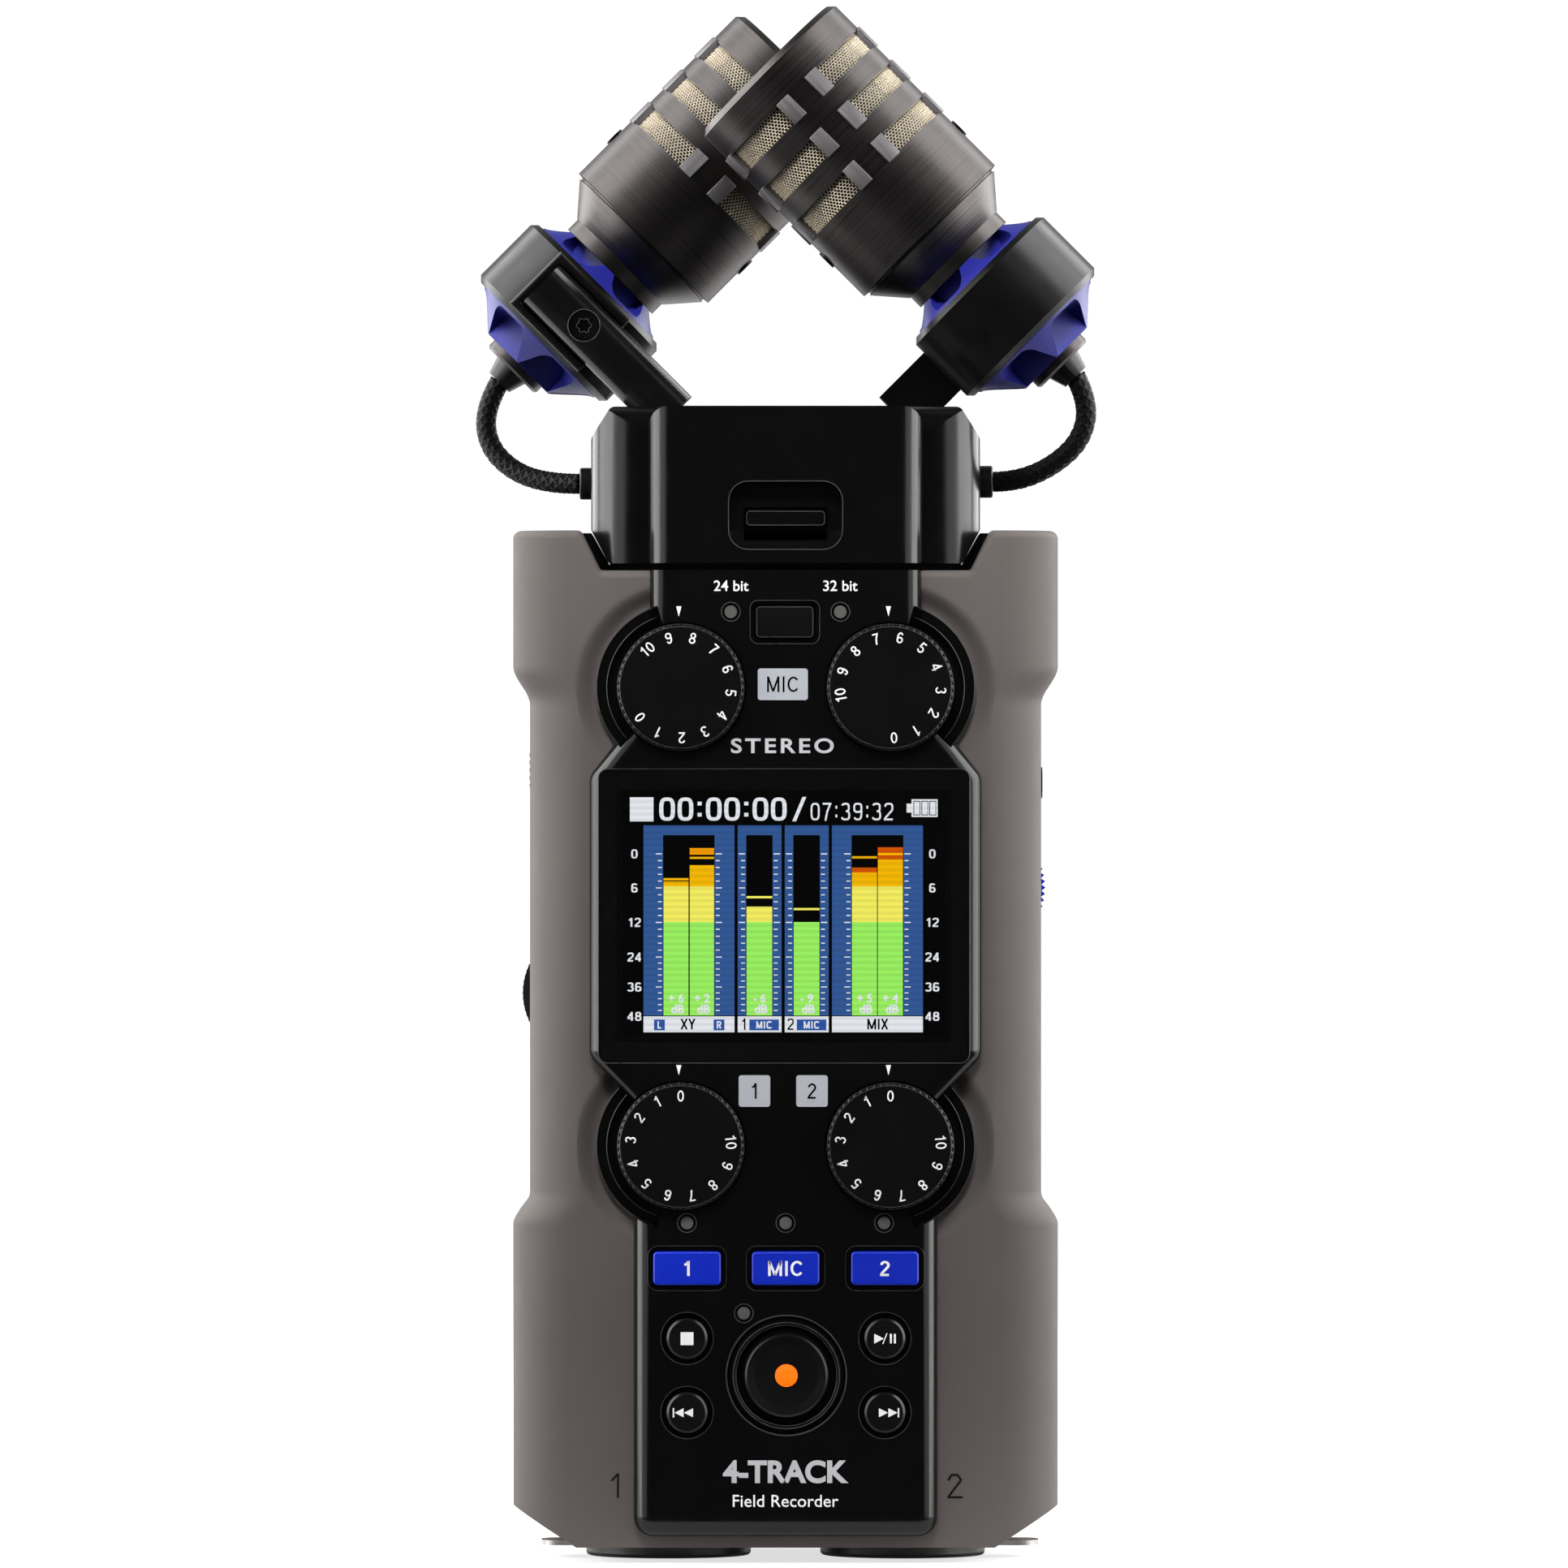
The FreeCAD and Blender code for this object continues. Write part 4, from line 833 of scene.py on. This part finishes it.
def make_icons():
    def stop(shape, x, z, y):
        bar(shape, x - 0.82 * MM, x + 0.82 * MM, z - 0.82 * MM, z + 0.82 * MM, y)

    def play(shape, x, z, y):
        triangle(shape, x - 0.8 * MM, z, y, 1.25 * MM, 1)
        slant = 0.22 * MM
        low_z, high_z = z - 0.68 * MM, z + 0.68 * MM
        patch(shape, [(x - 0.12 * MM - slant, low_z), (x + 0.02 * MM - slant, low_z),
                      (x + 0.12 * MM + slant, high_z), (x - 0.02 * MM + slant, high_z)], y)
        for left in (0.62, 1.13):
            bar(shape, x + left * MM, x + (left + 0.27) * MM, z - 0.6 * MM, z + 0.6 * MM, y)

    def skip(pointing):
        def draw(shape, x, z, y):
            for place in (-0.25, 0.95):
                triangle(shape, x + pointing * place * MM, z, y, 1.15 * MM, pointing)
            edge = x + pointing * 1.72 * MM
            bar(shape, edge - 0.1 * MM, edge + 0.1 * MM, z - 0.6 * MM, z + 0.6 * MM, y)
        return draw

    def caption(words):
        def draw(shape, x, z, y):
            pen(shape, words, x, z, y, 1.9 * MM, weight=0.15, narrow=1.15)
        return draw

    icon("stop_button", stop)
    icon("play_button", play)
    icon("rewind_button", skip(-1))
    icon("forward_button", skip(1))
    for name, words in (("track_key_1", "1"), ("track_key_mic", "MIC"), ("track_key_2", "2")):
        icon(name, caption(words))


# --- display ---

DOTS_ACROSS = 320
DOT = 40.0 * MM / DOTS_ACROSS
SCREEN_TOP = 122.5             # dots from the middle of the lens up to the picture's top
SCREEN_Y = low("lcd_module").y - 0.01 * MM
WHITE, BLUE, BLACK, GREEN, YELLOW, AMBER, ORANGE, RUST, TAG = range(9)
SCREEN_LOOKS = [
    glowing("lcd_white", (0.86, 0.88, 0.92)), glowing("lcd_blue", (0.035, 0.105, 0.32)),
    glowing("lcd_black", (0.0, 0.0, 0.0)), glowing("lcd_green", (0.36, 0.95, 0.13)),
    glowing("lcd_yellow", (1.0, 0.93, 0.13)), glowing("lcd_amber", (1.0, 0.52, 0.0)),
    glowing("lcd_orange", (1.0, 0.36, 0.0)), glowing("lcd_rust", (0.72, 0.10, 0.0)),
    glowing("lcd_tag", (0.03, 0.10, 0.40)),
]
SCREEN_LEFT_EDGE = SCREEN_MIDDLE.x - DOTS_ACROSS / 2 * DOT
SCREEN_TOP_EDGE = SCREEN_MIDDLE.z + SCREEN_TOP * DOT


def dot_x(x):
    """The place of a column of dots, counted from the left."""
    return SCREEN_LEFT_EDGE + x * DOT


def dot_z(y):
    """The place of a row of dots, counted from the top."""
    return SCREEN_TOP_EDGE - y * DOT


def layer_y(layer):
    return SCREEN_Y - layer * 0.004 * MM


def dots(shape, x0, x1, y0, y1, look, layer=1):
    """A lit rectangle, in dots of the display."""
    bar(shape, dot_x(x0), dot_x(x1), dot_z(y1), dot_z(y0), layer_y(layer), look, 0.004 * MM)


def dot_text(shape, words, x, y, height, look, layer=3, **style):
    write(shape, words, dot_x(x), dot_z(y), layer_y(layer), height * DOT, look, 0.003 * MM, **style)


def dot_pen(shape, words, x, y, height, look, layer=3, **style):
    pen(shape, words, dot_x(x), dot_z(y), layer_y(layer), height * DOT, look,
        font=SQUARE_PEN, thick=0.003 * MM, **style)


GREEN_TOP, AMBER_FLOOR, METER_FLOOR, METER_TOP = 128.7, 92.4, 223.5, 40.4
METERS = [
    # left, right, top of the bar, hold mark and its colour
    (37.7, 63.0, 87.4, 84.1, AMBER), (64.3, 89.0, 71.0, 62.4, AMBER),
    (122.0, 148.0, 113.0, 102.3, YELLOW), (169.9, 196.0, 128.7, 114.4, YELLOW),
    (229.0, 254.4, 78.4, 61.9, AMBER), (255.3, 280.7, 65.2, 58.5, AMBER),
]
COLUMNS = [(17.3, 109.7), (113.0, 157.5), (160.8, 205.4), (208.7, 301.0)]
TROUGHS = [(37.2, 89.5), (121.6, 148.4), (169.4, 196.4), (228.6, 281.2)]
SCALE = [(0, 59.4), (6, 94.0), (12, 129.0), (24, 164.2), (36, 194.6), (48, 224.4)]
TICKS = 5      # from one number of the scale to the next
LEVELS = [
    ("+ 6", 50.5), ("+ 2", 76.8), ("- 6", 135.2), ("- 9", 183.2), ("+ 5", 241.8), ("+ 4", 268.2),
]
MIC_TAGS = [
    # words, middle, half the tag's width
    ("L", 33.5, 5.5), ("R", 94.0, 5.5), ("MIC", 139.8, 15.0), ("MIC", 188.0, 15.0),
]


def draw_top_line(shape):
    """The stop mark, the time so far and left, and the battery."""
    dots(shape, 3.5, 27.5, 2, 26.5, WHITE)
    dot_pen(shape, "00:00:00", 98, 14, 23.5, WHITE, weight=0.15, narrow=1.2, gap=0.1)
    dot_text(shape, "/", 175.5, 14, 24, WHITE, bold=0.002, width=1.5)
    dot_pen(shape, "07:39:32", 229, 16.5, 18.5, WHITE, weight=0.105, narrow=0.96)
    dots(shape, 289.5, 316, 4, 22, WHITE)
    dots(shape, 284.5, 289.5, 8.5, 17.5, WHITE)
    for i in range(3):
        dots(shape, 291.4 + 8.1 * i, 298.3 + 8.1 * i, 5.6, 20.4, BLACK, 2)
        dots(shape, 292.2 + 8.1 * i, 297.6 + 8.1 * i, 6.4, 19.6, WHITE, 3)


def draw_ticks(shape, x0, x1):
    """The marks on both sides of a meter's trough."""
    for i in range(TICKS * (len(SCALE) - 1)):
        value, rest = divmod(i, TICKS)
        step = (SCALE[value + 1][1] - SCALE[value][1]) / TICKS
        y = SCALE[value][1] + step * rest
        long = 2.2 if rest == 0 else 0.0
        dots(shape, x0 - 5.2 - long, x0 - 1.2, y - 0.55, y + 0.55, WHITE, 2)
        dots(shape, x1 + 1.2, x1 + 5.2 + long, y - 0.55, y + 0.55, WHITE, 2)


def draw_meters(shape):
    """Blue columns with black troughs, and in them the level bars with their hold marks."""
    for x0, x1 in COLUMNS:
        dots(shape, x0, x1, 30.5, METER_FLOOR, BLUE)
        dots(shape, x0, x1, METER_FLOOR + 0.9, 240.6, WHITE)
    for x0, x1 in TROUGHS:
        dots(shape, x0, x1, METER_TOP, METER_FLOOR, BLACK, 2)
        draw_ticks(shape, x0, x1)
    for x0, x1, top, hold, mark in METERS:
        dots(shape, x0, x1, max(top, GREEN_TOP), METER_FLOOR, GREEN, 3)
        if top < GREEN_TOP:
            dots(shape, x0, x1, max(top, AMBER_FLOOR), GREEN_TOP, YELLOW, 3)
        if top < AMBER_FLOOR:
            dots(shape, x0, x1, top, AMBER_FLOOR, AMBER, 3)
        dots(shape, x0, x1, hold, hold + 2.2, mark, 4)
    dots(shape, 64.3, 89.0, 53.6, 60.2, ORANGE, 3)
    dots(shape, 229.0, 254.4, 73.4, 78.4, RUST, 3)
    dots(shape, 255.3, 280.7, 52.8, 65.2, RUST, 3)


def draw_captions(shape):
    """The numbers of the scale, the levels and the names of the channels."""
    for value, y in SCALE:
        for x in (8.5, 311.0):
            dot_pen(shape, str(value), x - 0.4, y, 9.0, WHITE, weight=0.17, narrow=1.25)
    for words, x in LEVELS:
        dot_text(shape, words, x, 206, 8.0, WHITE, 4, bold=0.03)
        dot_text(shape, "dB", x + 1.5, 217, 8.4, WHITE, 4, bold=0.035)
    for words, x in (("XY", 62.5), ("MIX", 255)):
        dot_pen(shape, words, x, 232.3, 10.8, BLACK, weight=0.17)
    for words, x in (("1", 119.2), ("2", 166.8)):
        dot_pen(shape, words, x, 232.4, 11.8, BLACK, weight=0.13)
    for words, x, half in MIC_TAGS:
        dots(shape, x - half, x + half, 227.6, 238.6, TAG, 2)
        dot_pen(shape, words, x, 233.1, 7.2, WHITE, weight=0.2, gap=0.2)


def make_display():
    shape = Shape()
    dots(shape, -5, 325, -4, 244, BLACK, 0)
    draw_top_line(shape)
    draw_meters(shape)
    draw_captions(shape)
    shape.build("display_picture", SCREEN_LOOKS, "recorder")


# --- microphones ---

RING_X = 28.0 * MM
RING_Z = 159.7 * MM
MIC_Y = 12.4 * MM
MIC_R = 11.8 * MM
MIC_END = 43.06 * MM                   # from the middle of the ring to the front end
WINDOW_ROWS = (6.4, 12.3, 18.2)        # millimetres back from the end
WINDOW_ANGLES = (48, -42, -132, 138)
WINDOW_SPAN = 68
TAB_HALF_LONG, TAB_HALF_WIDE = 1.72 * MM, 1.02 * MM
MICS = {
    # middle of the ring, axis, side that the angles count from
    "right": (Vector((RING_X, -MIC_Y, RING_Z)), MIC_RIGHT_AXIS, OUT),
    "left": (Vector((-RING_X, MIC_Y, RING_Z)), MIC_LEFT_AXIS, BACK),
}


def on_mic(origin, axis, front, t, angle, radius):
    """The place at t along a microphone, at an angle and a radius round its axis."""
    side = Matrix.Rotation(math.radians(angle), 3, axis) @ front
    return origin + axis * t + side * radius


def make_tabs(name):
    """The small blocks at both ends of every window."""
    origin, axis, front = MICS[name]
    shape = Shape()
    for row in WINDOW_ROWS:
        t = MIC_END - row * MM
        for angle in WINDOW_ANGLES:
            for end in (-1, 1):
                turn = angle + end * (WINDOW_SPAN / 2 - 1.0)
                out = Matrix.Rotation(math.radians(turn), 3, axis) @ front
                across = axis.cross(out)
                top = origin + axis * t + out * (MIC_R + 0.28 * MM)
                outline = []
                for a, b in ((-1, -1), (1, -1), (1, 1), (-1, 1)):
                    outline.append(top + axis * (a * TAB_HALF_LONG) + across * (b * TAB_HALF_WIDE))
                shape.slab(outline, 1.6 * MM, -out)
    piece = shape.build(f"mic_{name}_tabs", [TAB_LOOK], "mic_module")
    soften(piece, 0.07 * MM, 2)


def soften(piece, width, segments):
    """Rounds a piece's edges."""
    bevel = piece.modifiers.new("edges", "BEVEL")
    bevel.width = width
    bevel.segments = segments
    bevel.limit_method = "ANGLE"
    bevel.angle_limit = math.radians(35)
    mesh = evaluated_mesh(piece)
    piece.modifiers.clear()
    piece.data = mesh
    mesh.shade_smooth()
    mesh.set_sharp_from_angle(angle=math.radians(50))


WEAVE_R = 11.25 * MM
HOLE_PITCH = 0.56 * MM     # between holes, round the microphone
ROW_PITCH = 0.33 * MM      # between rows of holes, along it
WINDOW_HALF = 1.75 * MM    # half a window's length, along it
CELL = [(0.0, 0.62), (0.5, 0.38), (0.5, -0.38), (0.0, -0.62), (-0.5, -0.38), (-0.5, 0.38)]
CELL_RINGS = [(1.0, 0.02 * MM), (0.9, 0.0), (0.76, 0.2 * MM)]     # size of the outline, depth


def make_weave(name):
    """Fine wire cloth in each window: six-sided cells, offset row by row, that slope into holes."""
    origin, axis, front = MICS[name]
    shape = Shape()
    columns = int(math.radians(WINDOW_SPAN / 2) * WEAVE_R / HOLE_PITCH) + 1
    rows = int(WINDOW_HALF / ROW_PITCH)
    for row in WINDOW_ROWS:
        for angle in WINDOW_ANGLES:
            for j in range(-rows, rows + 1):
                for i in range(-columns, columns + 1):
                    u = (i + 0.5 * (j % 2)) * HOLE_PITCH
                    cell(shape, origin, axis, front, MIC_END - row * MM + j * ROW_PITCH, angle, u)
    return shape.build(f"mic_{name}_weave", [LOOKS["mesh_metal"]], "mic_module", 80)


def cell(shape, origin, axis, front, t, angle, u):
    """One cell of the cloth, at u round the microphone from the window's middle."""
    points = []
    for reach, depth in CELL_RINGS:
        for a, b in CELL:
            turn = angle + math.degrees((u + a * reach * HOLE_PITCH) / WEAVE_R)
            points.append(on_mic(origin, axis, front, t + b * reach * ROW_PITCH, turn, WEAVE_R - depth))
    shape.add(points, skin(len(CELL_RINGS), len(CELL)))


def make_liner(name):
    """A dark sleeve behind the woven wire."""
    origin, axis, front = MICS[name]
    shape = Shape()
    start, end = 17.8 * MM, 40.6 * MM
    outer, inner = 10.4 * MM, 10.1 * MM
    profile = [(start, outer), (end, outer), (end, inner), (start, inner), (start, outer)]
    lathe(shape, profile, origin, axis, front, 96)
    shape.build(f"mic_{name}_liner", [LOOKS["wheel_black"]], "mic_module", 30)


SET_SCREW_T = MIC_END - 22.8 * MM


def make_set_screws():
    """The small screws low on both flanks of each microphone."""
    shape = Shape()
    for origin, axis, front in MICS.values():
        for angle in (-90, 90):
            reaches = (11.4 * MM, 11.95 * MM, 12.05 * MM)
            path = [on_mic(origin, axis, front, SET_SCREW_T, angle, reach) for reach in reaches]
            shape.tube(path, 1.25 * MM, 20)
    shape.build("set_screws", [LOOKS["screw_black"]], "mic_module", 40)


# --- braided leads ---

LEAD_R = 1.35 * MM
LEAD_RIGHT = [
    # control points of the route from the microphone's tail to the gland, in millimetres
    (36.98, -12.4, 150.72), (38.7, -12.2, 147.4), (37.7, -11.4, 142.6),
    (33.8, -9.4, 139.2), (29.3, -7.1, 137.5), (26.5, -6.0, 137.5),
]
LEAD_LEFT = [
    (-36.98, 12.4, 150.72), (-38.9, 12.2, 147.3), (-38.4, 11.6, 142.4),
    (-34.8, 9.9, 138.9), (-29.8, 7.3, 137.5), (-26.5, 6.0, 137.5),
]


def smooth_line(points):
    """The line of a NURBS spline with those control points."""
    curve = bpy.data.curves.new("route", "CURVE")
    curve.dimensions = "3D"
    curve.resolution_u = 24
    spline = curve.splines.new("NURBS")
    spline.points.add(len(points) - 1)
    for target, (x, y, z) in zip(spline.points, points):
        target.co = (x * MM, y * MM, z * MM, 1)
    spline.order_u = 3
    spline.use_endpoint_u = True
    piece = added("route", curve)
    mesh = evaluated_mesh(piece)
    line = [v.co.copy() for v in mesh.vertices]
    bpy.data.objects.remove(piece)
    return line


def evenly(line, spacing):
    """Points at even steps along a line."""
    places = np.array(line)
    runs = np.linalg.norm(np.diff(places, axis=0), axis=1)
    at = np.concatenate([[0], np.cumsum(runs)])
    count = max(2, int(at[-1] / spacing))
    wanted = np.linspace(0, at[-1], count + 1)
    return [Vector([np.interp(w, at, places[:, i]) for i in range(3)]) for w in wanted], at[-1]


STRANDS = 12
BRAID_LAY = 7.6 * MM       # length of one turn of a strand


def make_lead(name, route):
    """A core in a braid of flat strands, which cross over and under each other."""
    line, length = evenly(smooth_line(route), 0.16 * MM)
    normals = frames_of(line)
    shape = Shape()
    shape.tube(line, LEAD_R * 0.78, 16, frames=normals)
    for lean in (-1, 1):
        for k in range(STRANDS):
            path, sides = [], []
            for i, (place, (normal, across)) in enumerate(zip(line, normals)):
                s = length * i / (len(line) - 1)
                turn = 2 * math.pi * k / STRANDS + lean * 2 * math.pi * s / BRAID_LAY
                phase = lean * math.pi / 2 + math.pi * k
                over = math.sin(STRANDS * 2 * math.pi * s / BRAID_LAY + phase)
                out = normal * math.cos(turn) + across * math.sin(turn)
                path.append(place + out * (LEAD_R - 0.24 * MM + 0.1 * MM * over))
                ahead = (line[min(i + 1, len(line) - 1)] - line[max(i - 1, 0)]).normalized()
                spin = ahead.cross(out)
                run = (ahead + spin * (lean * 2 * math.pi * LEAD_R / BRAID_LAY)).normalized()
                sides.append((out, run.cross(out)))
            shape.tube(path, 0.3 * MM, 6, flat=0.45, frames=sides)
    piece = shape.build(f"{name}_braid", [LOOKS["lead_braid"]], "mic_module", 60)
    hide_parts(name)


# --- stage, lights and camera ---

def make_floor():
    """A floor that shines for the camera, less so near the object, and faintly for all else."""
    mesh = bpy.data.meshes.new("floor")
    side, front, back = 0.4, -0.035, 4.0
    corners = [(-side, front, 0), (side, front, 0), (side, back, 0), (-side, back, 0)]
    mesh.from_pydata(corners, [], [(0, 1, 2, 3)])
    floor = added("floor", mesh)
    floor.location.z = -0.2 * MM
    look = material("floor_white", (0.5, 0.5, 0.5), 1.0, specular=0.0)
    nodes, links = nodes_of(look)
    shader = shader_of(look)
    shader.inputs["Emission Color"].default_value = (1, 1, 1, 1)
    reach = nodes.new("ShaderNodeVectorMath")
    reach.operation = "LENGTH"
    links.new(nodes.new("ShaderNodeTexCoord").outputs["Object"], reach.inputs[0])
    glow = remap(nodes, 0.05, 0.4, 0.7, 1.0)
    links.new(reach.outputs["Value"], glow.inputs["Value"])
    seen = nodes.new("ShaderNodeMapRange")
    seen.inputs["To Min"].default_value = 0.1
    links.new(glow.outputs["Result"], seen.inputs["To Max"])
    links.new(nodes.new("ShaderNodeLightPath").outputs["Is Camera Ray"], seen.inputs["Value"])
    links.new(seen.outputs["Result"], shader.inputs["Emission Strength"])
    mesh.materials.append(look)


def make_world():
    """White for the camera; for the rest a dim room that is lighter behind the object."""
    world = bpy.data.worlds.new("studio")
    bpy.context.scene.world = world
    world.use_nodes = True
    nodes, links = world.node_tree.nodes, world.node_tree.links
    shade = nodes["Background"]
    shade.inputs["Color"].default_value = (1, 1, 1, 1)
    split = nodes.new("ShaderNodeSeparateXYZ")
    links.new(nodes.new("ShaderNodeTexCoord").outputs["Generated"], split.inputs["Vector"])
    backdrop = remap(nodes, 0.1, 0.6, 0.03, 0.35)
    links.new(split.outputs["Y"], backdrop.inputs["Value"])
    seen = nodes.new("ShaderNodeMapRange")
    seen.inputs["To Max"].default_value = 1.05
    links.new(backdrop.outputs["Result"], seen.inputs["To Min"])
    links.new(nodes.new("ShaderNodeLightPath").outputs["Is Camera Ray"], seen.inputs["Value"])
    links.new(seen.outputs["Result"], shade.inputs["Strength"])


def softbox(name, place, target, width, height, power, spread_deg=180.0, glossy=True):
    light = bpy.data.lights.new(name, "AREA")
    light.shape = "RECTANGLE"
    light.size, light.size_y = width, height
    light.energy = power
    light.spread = math.radians(spread_deg)
    lamp = added(name, light)
    lamp.visible_glossy = glossy
    lamp.location = place
    lamp.rotation_euler = (Vector(target) - Vector(place)).to_track_quat("-Z", "Y").to_euler()


def make_lights():
    """A key light that isn't seen in reflections, and boxes on both sides that edge the object."""
    aim = (0, 0, 0.13)
    softbox("key", (-0.05, -0.6, 0.75), (0, 0, 0.25), 1.1, 0.25, 2.3, spread_deg=34.0, glossy=False)
    for side in (-1, 1):
        softbox("side", (side * 0.6, -0.06, 0.34), aim, 0.5, 0.9, 8.0)
        softbox("rear", (side * 0.5, 0.4, 0.3), aim, 0.4, 0.7, 4.0)
        softbox("wrap", (side * 0.52, -0.42, 0.24), aim, 0.45, 0.6, 1.1)


CAMERA_PLACE = (-0.0002, -1.85, 0.09885)
SENSOR_WIDTH, FOCAL_LENGTH = 36.0, 331.0


def make_camera():
    lens = bpy.data.cameras.new("camera")
    lens.sensor_width = SENSOR_WIDTH
    lens.lens = FOCAL_LENGTH
    lens.clip_end = 50
    camera = added("camera", lens)
    camera.location = CAMERA_PLACE
    camera.rotation_euler = (math.pi / 2, 0, 0)
    bpy.context.scene.camera = camera
    bpy.context.scene.view_settings.view_transform = "Standard"


# --- the object ---

make_camera()
dress_frame()
for knob, setting in KNOB_SETTINGS.items():
    make_knob(knob, setting)
make_panel_print()
make_icons()
make_panel_edges()
make_moving_edges()
make_engraving()
make_clamp_detail()
make_notch_seal()
make_display()
for mic in MICS:
    make_tabs(mic)
    weave = make_weave(mic)
    if mic == "right":
        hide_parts("mic_meshes")
    make_liner(mic)
make_set_screws()
make_lead("lead_right", LEAD_RIGHT)
make_lead("lead_left", LEAD_LEFT)
make_floor()
make_world()
make_lights()
